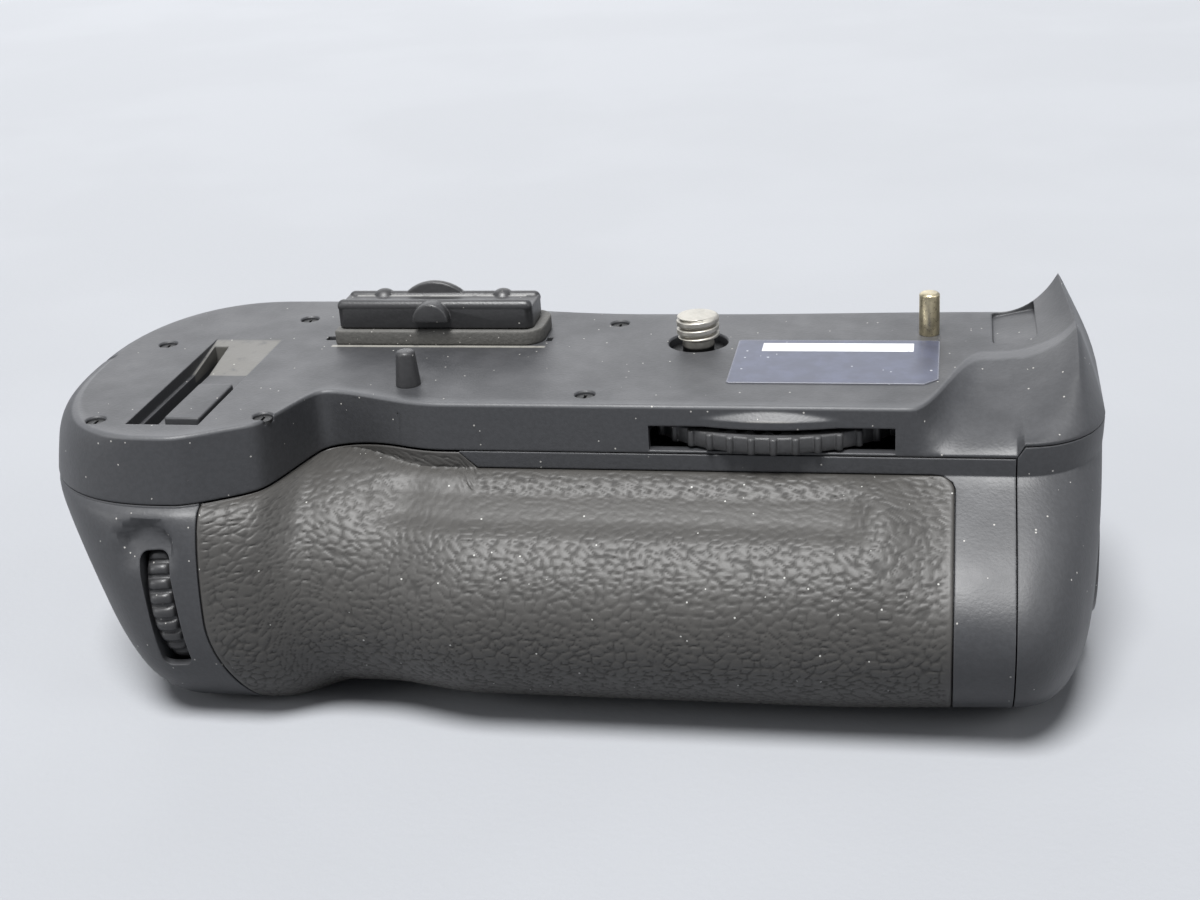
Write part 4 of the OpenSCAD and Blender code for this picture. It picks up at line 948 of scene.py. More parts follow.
@dataclass(frozen=True)
class BodyForm:
    """Outer form of the two casings and of the battery door, as the construction model has it."""

    left_reach: float = 89.8
    end_shoulder: float = 4.6
    end_shoulder_h: float = 8.5
    right_reach: float = 58.1
    body_height: float = 44.0
    plate_front: float = 26.7
    plate_back: float = 11.7
    shoulder_depth: float = 5.6
    shoulder_height: float = 5.0
    bulge_x: float = 70.0
    bulge_front: float = 39.8
    bulge_back: float = 18.0
    waist_front: float = 21.2
    waist_steep: float = 3.4
    waist_soft: float = 4.2
    trough_depth: float = 0.95
    grip_front: float = 44.4
    grip_back: float = 34.6
    chamber_back: float = 28.0
    end_slant: float = 23.0
    end_draft: float = 0.9
    bottom_round: float = 8.0
    valley: float = 3.2
    door_draft: float = 0.7
    seam_left: float = 9.9
    seam_mid: float = 7.0
    seam_door: float = 5.3
    seam_gap: float = 0.2
    lip_start: float = 43.0
    lip_ridge: float = 54.4
    lip_front_h: float = 4.9
    lip_tip_h: float = 6.7
    lip_front: float = 5.0
    lip_rake: float = 1.8
    rubber_t: float = 1.2
    rubber_top: float = 9.5
    rubber_left: float = 65.2
    rubber_right: float = 38.0
    rubber_corner: float = 3.0
    rubber_foot: float = 43.0
    thumb_left: float = 47.0
    thumb_right: float = 20.0
    thumb_top: float = 13.0
    thumb_foot: float = 37.0
    cover_gap: float = 0.06
    door_x: float = 46.0
    front_power: float = 2.45
    back_power: float = 2.25
    bulge_mid: float = -8.0
    nose_z: float = -27.0
    back_z: float = -24.0
    back_round: float = 10.0
    end_bend: float = 2.2
    row_mix: float = 14.4

    @property
    def plate_run(self) -> float:
        """Where the front edge leaves the waist for the straight run."""
        return self.bulge_x - 37

    @property
    def right_curve(self) -> float:
        """Where the front edge turns in towards the lip."""
        return self.lip_start - 12

    @property
    def cover_step(self) -> float:
        """Where the front cover's top edge steps down from the seam."""
        return -self.plate_run + 2

    def seam(self, x: Array) -> Array:
        """Depth of the seam between the casings: two eased steps down towards the left."""
        fall = (self.seam_left - self.seam_mid) * ease(-self.bulge_x + 9, -self.bulge_x + 30, x)
        return self.seam_left - fall - (self.seam_mid - self.seam_door) * clamp(x - self.door_x)

    def run_front(self, x: Array) -> Array:
        """Front line of the bulge, the waist and the straight run.

        It is the lesser of the bulge's line and of the greater of a steep line and the waist's
        swell, with both choices rounded by the root of the squared difference plus a square.
        """
        bulge = self.bulge_front - 4.3 * ease(-self.bulge_x + 1, -self.bulge_x + 12.5, x)
        steep = self.waist_front + 7.2 - self.waist_steep * (x + self.bulge_x - 14.85)
        swell = (self.plate_front - self.waist_front) * ease(-53.5, -self.plate_run, x)
        inner = soft_most(steep, self.waist_front + swell, self.waist_soft)
        return -soft_most(-bulge, -inner, self.waist_soft)

    def edge_front(self, x: Array) -> Array:
        """Front edge of the flat top, measured forward from the screw's axis."""
        turn_in = (self.plate_front - self.lip_front) * ease5(
            self.right_curve, self.lip_start - 0.5, x
        )
        return self.run_front(x) - turn_in

    def wall_front(self, x: Array) -> Array:
        """Front wall at the seam."""
        draft = self.end_draft * (1 - ease(-self.bulge_x + 8, -self.bulge_x + 18, x))
        return self.run_front(x) + draft

    def edge_back(self, x: Array) -> Array:
        """Rear edge of the flat top."""
        fall = (self.bulge_back - self.plate_back) * ease(-self.bulge_x + 8, -self.bulge_x + 60, x)
        return self.bulge_back - fall + 1.2 * ease(0, self.lip_start, x)

    def wall_back(self, x: Array) -> Array:
        """Rear wall at the seam."""
        return self.edge_back(x) + self.shoulder_depth - 1.2 * ease(self.lip_start, self.door_x, x)

    def end_left(self, z: Array) -> Array:
        """Left end at each height: a quarter ellipse shoulder, a slant, and a round foot."""
        shoulder = np.sqrt(1 - (1 - clamp(-z / self.end_shoulder_h)) ** 2)
        slant = np.maximum(0, -z - self.seam_left) * math.tan(math.radians(self.end_slant))
        draft = self.end_draft * ease(self.end_shoulder_h - 3, self.seam_left + 3, -z)
        foot = self.bottom_round * arc_in(1 - (z + self.body_height) / self.bottom_round)
        return -self.left_reach - self.end_shoulder * shoulder - draft + slant + foot

    def nose(self, x: Array) -> Array:
        """Foremost reach of the hand grip, drawn in between the bulge and the grip."""
        drawn = self.valley * ease(-self.bulge_x + 8, -self.bulge_x + 20, x)
        out = (self.valley + 0.2) * ease(-self.bulge_x + 26, -self.bulge_x + 43, x)
        return self.grip_front - 0.2 - drawn + out

    def under_round(self, x: Array) -> Array:
        """Depth of the rounding under the hand grip."""
        b = -self.bulge_x
        return (
            14.5
            + 5.5 * ease(b + 6, b + 20, x)
            + 2 * ease(b + 26, b + 45, x)
            + 5 * ease(20, self.door_x + 4, x)
        )

    def hollow(self, x: Array) -> Array:
        """1 where the fingers' hollow runs under the ledge."""
        b = -self.bulge_x
        return ease(b + 18, b + 34, x) * (1 - ease(18, self.rubber_right, x))

    def ledge(self, x: Array) -> Array:
        """Height at which the grip begins to swell out under the straight wall."""
        b = -self.bulge_x
        u = ease(b + 18, b + 34, x)
        return -mix(self.seam(x) + 0.45, self.rubber_top + 0.15, u)

    def grip_y(self, x: Array, z: Array) -> Array:
        """Front surface under the seam: a power of 1 - u squared above the nose, an arc below."""
        top = self.wall_front(x)
        u = clamp((z - self.nose_z) / (self.ledge(x) - self.nose_z))
        v = (self.nose_z - z) / (self.body_height + self.nose_z + 0.2)
        power = mix(0.5, 0.8, self.hollow(x)) + 0.7 * ease(26, self.rubber_right, x)
        swell = np.maximum(0, 1 - u * u) ** power
        above = -top - (self.nose(x) - top) * swell
        return np.where(z > self.nose_z, above, -self.nose(x) + self.under_round(x) * arc_in(v))

    def back_y(self, x: Array, z: Array) -> Array:
        """Rear surface: eased out to its rearmost place, then a round foot."""
        rear = mix(self.grip_back, self.chamber_back, ease(-self.bulge_x + 24, -12, x))
        seam = self.seam(x)
        u = clamp((-z - seam) / (-self.back_z - seam))
        above = mix(self.wall_back(x), rear, u * u * (3 - 2 * u))
        foot = (self.back_z - z) / (self.body_height + self.back_z + 0.5)
        return np.where(z > self.back_z, above, rear - self.back_round * arc_in(foot))

    def end_curve(self, x: Array) -> Array:
        """0 along the body, rising to 1 at the right end as on a superellipse."""
        u = clamp((x - self.door_x) / (self.right_reach + 0.2 - self.door_x))
        return 1 - np.maximum(0, 1 - u**self.end_bend) ** (1 / self.end_bend)

    def front_inset(self, x: Array, z: Array) -> Array:
        """How far the front draws in at the right end, more near the foot."""
        return self.end_curve(x) * mix(15, 32, ease(6, 27, -z))

    def back_inset(self, x: Array) -> Array:
        """How far the back draws in at the right end."""
        return self.end_curve(x) * 14

    def end_lift(self, x: Array, z: Array) -> Array:
        """How far the underside rises at the right end."""
        return 6.5 * arc_in((x - self.right_reach + 8) / 8) * clamp((-z - 24) / 20)

    def door_lean(self, x: Array, z: Array) -> Array:
        """How far the door's face leans in towards its foot."""
        out = clamp((x - self.door_x) / (self.right_reach - self.door_x))
        return self.door_draft * out * clamp((-z - self.seam_door) / 26)

    def station_x(self, s: Stations, z: Array) -> Array:
        """X of a section's point: the section's base, swept out to the left end's line."""
        return s.base + (self.end_left(z) + self.bulge_x) * s.sweep

    def toward_mid(self, s: Stations, y: Array) -> Array:
        """Y drawn towards the bulge's middle by the fan's width on that side."""
        return mix(self.bulge_mid, y, np.where(y < self.bulge_mid, s.front_width, s.back_width))

    def cover_edge(self, x: Array) -> Array:
        """Depth of the front cover's top edge, which steps down beside the waist."""
        high = self.seam(x) + self.seam_gap / 2 + 2 * self.cover_gap
        return mix(high, self.rubber_top, clamp((x - self.cover_step) / 2.5))

    def front_z(self, x: Array, depth: Array) -> Array:
        """Height of a row of the front: rows follow the seam and the cover's edge, then level."""
        edge = -self.cover_edge(x)
        gap, top = self.cover_gap, self.rubber_top
        z0, z1, z2 = -self.seam(x) - self.seam_gap / 2, edge + gap, edge - gap
        z3 = np.minimum(self.ledge(x), edge - gap - 0.07)
        marks = [self.seam_mid, top - gap, top + gap, top + 0.22, self.row_mix]
        values = [z0, z1, z2, z3, -self.row_mix + 0 * z0]
        z = -depth + 0 * z0
        for a, b, low, high in reversed(list(zip(marks, marks[1:], values, values[1:]))):
            z = np.where(depth <= b, mix(low, high, clamp((depth - a) / (b - a))), z)
        return z

    def back_row_z(self, x: Array, depth: Array) -> Array:
        """Height of a row of the back."""
        share = clamp((depth - self.seam_mid) / (self.thumb_top - self.seam_mid))
        upper = -mix(self.seam(x) + self.seam_gap / 2, self.thumb_top, share)
        return np.where(depth <= self.thumb_top, upper, -depth + 0 * upper)

    def edge_bend(self, x: Array, z: Array) -> Array:
        """Sideways bend of the cover's left edge and of its round upper right corner."""
        left = (1 - ease(-self.rubber_left, -34, x)) * ease(-self.bulge_x, -self.rubber_left, x)
        right = ease(self.rubber_right - 8, self.rubber_right, x)
        right = right * (1 - ease(self.rubber_right, self.rubber_right + 6, x))
        down = (-z - self.rubber_top) * 2
        corner = self.rubber_corner * arc_in(1 - down / self.rubber_corner)
        return left * 5 * ease(26, 48, -z) - right * corner

    def cover_z(self, x: Array, depth: Array) -> Array:
        """Height of a row of the front cover: evenly spread from its own upper edge."""
        top = self.rubber_top + self.cover_gap
        share = clamp((depth - top) / (self.row_mix - top))
        raised = 0.15 * (1 - clamp((x - self.cover_step) / 2.5))
        upper = mix(raised - self.cover_edge(x) - self.cover_gap, -self.row_mix, share)
        return np.where(depth < self.row_mix, upper, -depth + 0 * upper)

    def trough(self, x: Array, z: Array) -> Array:
        """Depth of the finger trough under the cover's upper edge, with round ends and lips."""
        reach = ease(-46, -38, x) * (1 - ease(23, 29.5, x))
        return self.trough_depth * reach * ease(9.9, 11.6, -z) * (1 - ease(13.4, 15.5, -z))

    def cover_front(self, s: Stations, depth: Array, sink: Array) -> Array:
        """Points of the front cover, as front() gives them but on the cover's own rows."""
        z = self.cover_z(s.base, depth)
        pressed = np.where(sink < self.rubber_t - 2 * self.cover_gap, self.trough(s.base, z), 0.0)
        return self.front(s, depth, np.minimum(sink + pressed, self.rubber_t - self.cover_gap), z)

    def front(self, s: Stations, depth: Array, sink: Array, z: Array | None = None) -> Array:
        """Points of the front below the seam.

        Args:
            s: The sections, as columns.
            depth: Rows as depths under the plate.
            sink: How deep each point lies under the outer surface.
            z: Heights of the rows, where they aren't the casing's.

        Returns:
            Points as sections by rows by three. The sink runs level at the nose and turns
            upwards below it.
        """
        fan = s.sweep > 0
        z = self.front_z(s.base, depth) if z is None else z
        x = self.station_x(s, z)
        bend = self.edge_bend(self.station_x(s, -20.0 + 0 * z), z)
        x = x + np.where(fan, 0.0, bend)
        foot = 2 * clamp((depth - self.rubber_foot - self.cover_gap) / 0.94)
        y = self.toward_mid(s, self.grip_y(s.base, z) + foot)
        above = -50 * (clamp((z - self.nose_z) / 20) ** 2)
        below = 80 * clamp((self.nose_z - z) / (self.body_height + self.nose_z)) ** 2
        a = np.radians(np.where(z > self.nose_z, above, below))
        return np.stack(
            [
                x - self.door_lean(x, z),
                y + self.front_inset(x, z) + sink * np.cos(a),
                z + sink * np.sin(a) + self.end_lift(x, z),
            ],
            -1,
        )

    def back(self, s: Stations, depth: Array, sink: Array) -> Array:
        """Points of the back below the seam, as front() gives them for the front."""
        z = self.back_row_z(s.base, depth)
        x = self.station_x(s, z)
        foot = clamp((depth - 43.2) / 0.8)
        y = self.toward_mid(s, self.back_y(s.base, z) - foot)
        return np.stack(
            [
                x - self.door_lean(x, z),
                y - self.back_inset(x) - sink,
                z + self.end_lift(x, z),
            ],
            -1,
        )


def pair(x: float, gap: float) -> list[float]:
    """Two places a gap to each side of x, between which a wall stands."""
    return [x - gap, x + gap]


# Surface grain


@dataclass(frozen=True)
class LeatherGrain:
    """Pebbled grain of the rubber covers: cells round jittered centres, with cracks between."""

    cell_length: float = 1.5
    cell_height: float = 1.12
    jitter: float = 0.48
    crack: float = 0.26
    depth: float = 0.18

    def scatter(self, i: Array, j: Array, turn_by: float) -> Array:
        """A fixed number from 0 to 1 for each cell: the fraction of a large sine."""
        value = np.sin(i * 127.1 + j * 311.7 + turn_by) * 43758.5453
        return value - np.floor(value)

    def height(self, along: Array, down: Array) -> Array:
        """Height of the grain, 0 in a crack and 1 on a pebble.

        Args:
            along: Distance along the body in millimetres.
            down: Distance down the surface in millimetres.

        Returns:
            The eased difference between the distances to the nearest two cell centres, after
            slow sine waves have bent the grid.
        """
        u = along / self.cell_length + 0.34 * np.sin(down * 0.62) + 0.22 * np.sin(along * 0.37 + 1)
        v = down / self.cell_height + 0.36 * np.sin(along * 0.51) + 0.2 * np.sin(down * 0.9 + 2)
        i, j = np.floor(u), np.floor(v)
        near = np.full(u.shape, 9.0)
        second = np.full(u.shape, 9.0)
        for di in (-1, 0, 1):
            for dj in (-1, 0, 1):
                a, b = i + di, j + dj
                x = a + 0.5 + self.jitter * (2 * self.scatter(a, b, 0.0) - 1)
                y = b + 0.5 + self.jitter * (2 * self.scatter(a, b, 2.4) - 1)
                d = np.hypot(u - x, v - y)
                second = np.minimum(second, np.maximum(near, d))
                near = np.minimum(near, d)
        gap = ease(0.0, self.crack, second - near)
        dome = 1 - 0.3 * clamp(near) ** 2
        broken = np.sin(along * 1.7 + 2 * np.sin(down * 1.1)) * np.sin(down * 2.1 + along * 0.6)
        share = mix(0.3, 1.0, ease(-0.75, 0.0, broken))
        return clamp(mix(1.0, gap, share) * dome)


# Casings


@dataclass
class Casings:
    """The two casings, their rubber covers and the battery door's shell."""

    finishes: Finishes
    form: BodyForm = field(default_factory=BodyForm)
    pitch: float = 0.9
    cover_pitch: float = 0.27
    edge_round: float = 0.55
    slot_x: float = 13.1
    slot_width: float = 33.7
    slot_high: float = 2.95
    slot_low: float = 6.55
    plate_t: float = 2.0
    brow_out: float = 1.1
    brow_radius: float = 38.0

    def grip_rows(self, front: bool) -> Array:
        """Depths of the rows, through every edge of a cover."""
        f = self.form
        if front:
            marks = [f.seam_mid, *pair(f.rubber_top, f.cover_gap), f.rubber_top + 0.22, f.row_mix]
            marks += [27.0, *pair(f.rubber_foot, f.cover_gap), f.body_height]
        else:
            marks = [f.seam_mid, *pair(f.thumb_top, f.cover_gap), 24.0]
            marks += [*pair(f.thumb_foot, f.cover_gap), 43.2, f.body_height]
        return steps(marks, 0.62)[None, :]

    def grip_stations(self) -> Stations:
        """Sections of the grip casing, through every upright edge of a cover."""
        f = self.form
        marks = [-f.bulge_x, *pair(-f.rubber_left, f.cover_gap), *pair(-f.thumb_left, f.cover_gap)]
        marks += [*pair(f.cover_step, f.cover_gap), *pair(-f.thumb_right, f.cover_gap)]
        marks += [*pair(f.rubber_right, f.cover_gap), f.door_x - f.seam_gap / 2]
        return Stations.along(f, self.with_waist(steps(marks, self.pitch)))

    def with_waist(self, xs: Array) -> Array:
        """Adds sections where the front wall turns round the waist."""
        waist = np.linspace(-61.5, -45.5, 54)
        return np.unique(np.round(np.concatenate([xs, waist]), 3))

    def scoop(self, s: Stations, depth: Array) -> Array:
        """Depth of the thumb nail scoop over the front dial.

        The rim is a circle over the dial: inside it the surface drops within a millimetre and a
        half, and comes out again towards the dial's slot.
        """
        f = self.form
        z = f.front_z(s.base, depth)
        x = f.station_x(s, z)
        inside = 4.5 - np.hypot(x + 72.6, np.maximum(0, z + 15.6))
        fall = 1 - ease(13.6, 20.0, -z)
        seen = np.where(s.base < -60, 1.0, 0.0)
        return 1.6 * ease(0.0, 1.1, inside) * fall * seen

    def grip_casing(self) -> bpy.types.Object:
        """The lower casing: front rows down and back rows up at every section, then hollows."""
        f = self.form
        s = self.grip_stations()
        rows, back_rows = self.grip_rows(True), self.grip_rows(False)
        in_cover = (s.base > -f.rubber_left) & (s.base < f.rubber_right) & (s.sweep == 0)
        below = (rows > f.rubber_top) | (s.base < f.cover_step)
        sink = np.where(in_cover & below & (rows < f.rubber_foot), f.rubber_t, 0.0)
        in_thumb = (s.base > -f.thumb_left) & (s.base < -f.thumb_right) & (s.sweep == 0)
        thumb = in_thumb & (back_rows > f.thumb_top) & (back_rows < f.thumb_foot)
        front = f.front(s, rows, sink + self.scoop(s, rows))
        back = f.back(s, back_rows, np.where(thumb, f.rubber_t, 0.0))
        shape = loft(np.concatenate([front, back[:, ::-1]], 1), Ends.STITCHED)
        piece = make_object("grip_shell", shape)
        carve(piece, self.grip_cutters())
        return settle(
            piece, Body.HOUSING, Slot.CASING, self.finishes.casing, "grip_casing"
        )

    def grip_cutters(self) -> list[Shape]:
        """Hollows of the lower casing: chamber, well, dials, buttons, latch, socket and screws."""
        chamber_z = CHAMBER_Z
        cuts = [
            box((-66, -26, chamber_z - 15.5), (51, 8, chamber_z + 15.5)),
            box((-58, -19.2, -9.3), (35, 11.2, 1)),
            box((-40, -24.7, -9.3), (33, -14.2, 1)),
        ]
        for place, side in ((FRONT_DIAL, -1), (REAR_DIAL, 1)):
            cuts.extend(Dial.pocket(place, side))
        cuts.append(rod(9.15, -2.6, 11.4, count=96).moved(SHUTTER))
        cuts.append(rod(3.6, -14.2, -1.2).moved(SHUTTER))
        cuts.append(rod(4.3, -2.2, 5.8).moved(FOCUS))
        cuts.append(rod(2.4, -7.4, 0.6).moved(FOCUS))
        cuts.append(rod(8.1, -5.4, 6.6, count=96).moved(SELECTOR))
        along_x = Place((41.4, -9, chamber_z), (0, 90, 0))
        cuts.append(rod(16.75, 0, 2.8, count=96).moved(along_x))
        cuts.append(rod(4.83, -0.01, 6.6).moved(Place((0, 13.6, -44))))
        cuts.extend(rod(2.0, -0.01, 1.29).moved(Place((x, y, -44))) for x, y in BASE_SCREWS)
        cuts.append(box((-68.4, -19.1, chamber_z - 4.1), (-63.4, 1.1, chamber_z + 4.1)))
        return cuts

    def front_cover(self) -> bpy.types.Object:
        """The grained cover of the hand grip: an outer and an inner sheet with shared rims."""
        f = self.form
        left, right = -f.rubber_left + 2 * f.cover_gap, f.rubber_right - 2 * f.cover_gap
        s = Stations.along(f, steps([left, f.cover_step, right], self.cover_pitch), 0)
        ends = (f.rubber_top + f.cover_gap, f.rubber_foot - f.cover_gap)
        rows = self.even_rows(ends, 200)
        return self.cover("front_cover", "front_rubber", f.cover_front, s, rows)

    def thumb_cover(self) -> bpy.types.Object:
        """The grained cover of the thumb bulge at the back."""
        f = self.form
        left, right = -f.thumb_left + 2 * f.cover_gap, -f.thumb_right - 2 * f.cover_gap
        s = Stations.along(f, steps([left, right], self.cover_pitch), 0)
        ends = (f.thumb_top + f.cover_gap, f.thumb_foot - f.cover_gap)
        rows = np.linspace(*ends, 89)[None, :]
        return self.cover("thumb_cover", "thumb_rubber", f.back, s, rows)

    def even_rows(self, ends: tuple[float, float], count: int) -> Array:
        """Rows of the front at even distances along the section through the screw's axis.

        Args:
            ends: Depths of the first and the last row.
            count: Number of steps.

        Returns:
            One row of depths, read off the summed lengths of a fine section.
        """
        fine = np.linspace(*ends, 600)[None, :]
        points = self.form.front(Stations.along(self.form, np.zeros(1), 0), fine, 0 * fine)[0]
        length = np.concatenate([[0], np.cumsum(np.linalg.norm(np.diff(points, axis=0), axis=1))])
        return np.interp(np.linspace(0, length[-1], count + 1), length, fine[0])[None, :]

    def cover(
        self, name: str, node: str, surface: object, s: Stations, rows: Array
    ) -> bpy.types.Object:
        """Builds a cover under a surface of the body.

        Args:
            name: The piece's name.
            node: The CAD node that it stands for.
            surface: The body's front() or back().
            s: The sections.
            rows: The rows of the outer face, of which the inner one has every eighth.

        Returns:
            The cover. Its grain is sunk into the surface, worn away in the fingers' hollow and
            on the way to its rounded rims.
        """
        f = self.form
        flat = surface(s, rows, 0 * rows)
        step_down = np.linalg.norm(np.diff(flat, axis=1), axis=2)
        down = np.concatenate([0 * flat[:, :1, 0], np.cumsum(step_down, 1)], 1)
        step_on = np.linalg.norm(np.diff(flat, axis=0), axis=2)
        along = np.concatenate([0 * flat[:1, :, 0], np.cumsum(step_on, 0)], 0)
        rim = np.minimum.reduce([down, down[:, -1:] - down, along, along[-1:] - along])
        rounding = 0.22 * arc_in(1 - rim / 0.4)
        grain = LeatherGrain().height(along, down)
        if node == "front_rubber":
            worn = ease(11.0, 12.0, rows) * (1 - ease(13.4, 14.8, rows)) * ease(-44, -36, s.base)
            keep = 1 - 0.6 * worn * (1 - ease(20, 30, s.base))
        else:
            keep = 1.0
        keep = keep * ease(0.2, 1.2, rim)
        sink = rounding + LeatherGrain().depth * (1 - grain) * keep
        outer = surface(s, rows, sink)
        inner = surface(s, rows[:, ::8], f.rubber_t - f.cover_gap + 0 * rows[:, ::8])
        rings = np.concatenate([outer, inner[:, ::-1]], 1)
        piece = make_object(name, loft(rings, Ends.STITCHED, 8), 60.0)
        paint(piece, "grain", np.concatenate([mix(1.0, grain, keep), 0 * inner[..., 0] + 1], 1))
        return settle(piece, Body.HOUSING, Slot.COVER, self.finishes.rubber, node)

    def lip_z(self, x: Array, peak: float, soft: Array = 0.45) -> Array:
        """Height of the lip: the lesser of a rising arc and the fall to the door, rounded."""
        f = self.form
        curl = 0.95
        rise = arc_in(np.minimum(curl * (x - f.lip_start) / (f.lip_ridge - f.lip_start), 0.999))
        inner = peak * rise / arc_in(np.array(curl))
        past = (x - f.lip_ridge) / (f.right_reach - f.lip_ridge)
        outer = mix(peak, -f.seam_door + 0.6, np.sign(past) * abs(past) ** 1.15)
        width = soft * clamp((f.right_reach - x) / 3)
        return -soft_most(-inner, -outer, width)

    def rake(self, x: Array, share: Array) -> Array:
        """How far the lip's rear tip stands back along the body."""
        f = self.form
        rise = ease(f.lip_start, f.lip_ridge, x) * (1 - ease(f.lip_ridge, f.right_reach, x))
        return -f.lip_rake * share * rise

    def brow(self, x: Array, z: Array) -> Array:
        """How far the brow over the wheel's slot stands out of the front wall.

        It is the reach of a large circle less a fall with height, cut off at the wall.
        """
        bow = self.brow_out - (x - self.slot_x) ** 2 / (2 * self.brow_radius)
        fall = self.brow_out * np.maximum(0, (z + self.slot_high - 1.1) / 1.2)
        out = bow - fall
        soft = 0.5 * (out + np.sqrt(out * out + 0.004))
        foot = ease(-self.slot_low + 0.4, -self.slot_low + 2.0, z)
        return soft * foot * ease(14, 11, abs(x - self.slot_x))

    def top_front(self, s: Stations, share: Array) -> Array:
        """Front wall of the top casing.

        Args:
            s: The sections, as columns.
            share: Rows, from 0 at the seam up to 1 at the edge.

        Returns:
            Points as sections by rows by three.
        """
        f = self.form
        x = f.station_x(s, -f.seam_left * (1 - share))
        xs = np.where(s.sweep > 0, -f.bulge_x, x)
        inset = f.front_inset(x, -f.seam_door + 0 * x)
        foot_y = -f.wall_front(xs) + inset
        edge_y = -np.minimum(f.edge_front(xs), f.wall_front(xs) - inset - 0.3)
        slope = ease(f.right_curve, f.lip_start, x)
        seam_z = -f.seam(xs) + f.seam_gap / 2
        level = f.seam_mid - (f.seam_mid - f.seam_door) * ease(f.door_x - 4, f.door_x + 10, x)
        foot_z = mix(seam_z + 0.3, np.where(x > f.right_curve, 0.5 - level, seam_z), slope)
        y = mix(foot_y, edge_y, mix(share, share**1.25, slope))
        crest = self.lip_z(x, f.lip_front_h, 0.45 + 3.5 * (1 - share))
        z = mix(foot_z, crest, mix(share, 1 - (1 - share) ** 1.35, slope))
        z = z + slope * (level - f.seam(xs)) * (1 - share) ** 4
        plain = np.where(s.sweep > 0, 0.0, 1.0) * (1 - slope)
        y = f.toward_mid(s, y) - self.brow(x, z) * plain
        return np.stack([x + self.rake(x, 0.0), y, z], -1)

    def top_back(self, s: Stations, angle: Array) -> Array:
        """Rear shoulder of the top casing: a quarter ellipse from flat top to rear wall."""
        f = self.form
        drop = f.shoulder_height * (1 - np.cos(angle))
        x = f.station_x(s, -drop)
        xs = np.where(s.sweep > 0, -f.bulge_x, x)
        inset = f.back_inset(x)
        edge_y = np.minimum(f.edge_back(xs), f.wall_back(xs) - inset - 1)
        peak = self.lip_z(x, f.lip_tip_h)
        lean = self.rake(x, 1.0)
        foot = -f.seam(xs) + f.seam_gap / 2
        reach = f.wall_back(xs) - inset - edge_y
        z = np.maximum(foot + 0.3, mix(peak, -f.shoulder_height, 1 - np.cos(angle)))
        y = f.toward_mid(s, edge_y + reach * np.sin(angle))
        return np.stack([x + lean * np.cos(angle), y, z], -1)

    def seam_line(self, s: Stations, front: bool) -> Array:
        """The top casing's lower edge along the seam."""
        f = self.form
        x = f.station_x(s, -f.seam_left + 0 * s.base)
        xs = np.where(s.sweep > 0, -f.bulge_x, x)
        if front:
            y = -f.wall_front(xs) + f.front_inset(x, -f.seam_door + 0 * x)
        else:
            y = f.wall_back(xs) - f.back_inset(x)
        return np.stack([x, f.toward_mid(s, y), -f.seam(xs) + f.seam_gap / 2], -1)

    def rear_wall(self, s: Stations, start: Array) -> Array:
        """Rear wall of the top casing, from the shoulder's foot evenly down to the seam."""
        end = self.seam_line(s, False)
        share = np.linspace(0, 1, 12)[None, 1:-1]
        z = mix(start[..., 2], end[..., 2], share)
        return np.stack([self.form.station_x(s, z), mix(start[..., 1], end[..., 1], share), z], -1)

    def top_casing(self) -> bpy.types.Object:
        """The upper casing.

        Each ring runs up the front wall, round the edge on a quadratic curve, across the flat
        top and down the rear shoulder. Then the slot, the cap's holder and the holes are cut.
        """
        f = self.form
        marks = [-f.bulge_x, -62, -52, -33, -6, f.right_curve, f.lip_start, f.door_x]
        marks += [f.door_x + 1, f.lip_ridge]
        xs = np.concatenate(
            [steps(marks, self.pitch)[:-1], f.lip_ridge + np.linspace(0, 1, 9) ** 0.9 * 3.7]
        )
        s = Stations.along(f, self.with_waist(xs))
        share = 1 - np.linspace(1, 0, 34) ** 1.6
        wall = self.top_front(s, share[None, :])
        height = np.maximum(wall[:, -1, 2] - wall[:, 0, 2], 1)[:, None]
        edge = self.edge_round * (1 - 0.95 * s.sweep**4)
        stop = 1 - edge / height
        kept = np.minimum(share[None, :], stop)
        wall = self.top_front(s, kept)
        corner = self.top_front(s, 1 + 0 * stop)
        shoulder = self.top_back(s, np.radians(np.linspace(0, 90, 12))[None, :])
        across = shoulder[:, :1] - corner
        across = across / np.linalg.norm(across, axis=2, keepdims=True)
        after = corner + across * edge[..., None]
        u = np.linspace(0, 1, 6)[None, 1:, None]
        before = wall[:, -1:]
        bend = (1 - u) ** 2 * before + 2 * u * (1 - u) * corner + u * u * after
        v = np.linspace(0, 1, 24)[None, 1:-1, None]
        flat = mix(after, shoulder[:, :1], v)
        parts = [
            self.seam_line(s, True),
            wall,
            bend,
            flat,
            shoulder,
            self.rear_wall(s, shoulder[:, -1:]),
            self.seam_line(s, False),
        ]
        piece = make_object("top_shell", loft(np.concatenate(parts, 1), Ends.STITCHED))
        # The rounded edge rows are painted paler: partly rubbed wear, partly a painted edge
        # highlight.
        edge_wear_and_highlight = [1.0 if part is bend else 0.0 for part in parts]
        edge_wear_and_highlight = np.concatenate([np.full(p.shape[:2], r) for p, r in zip(parts, edge_wear_and_highlight)], 1)
        paint(piece, "edge_wear_and_highlight", edge_wear_and_highlight)
        carve(piece, self.top_cutters(), 32.0)
        return settle(piece, Body.HOUSING, Slot.CASING, self.finishes.casing, "top_casing")

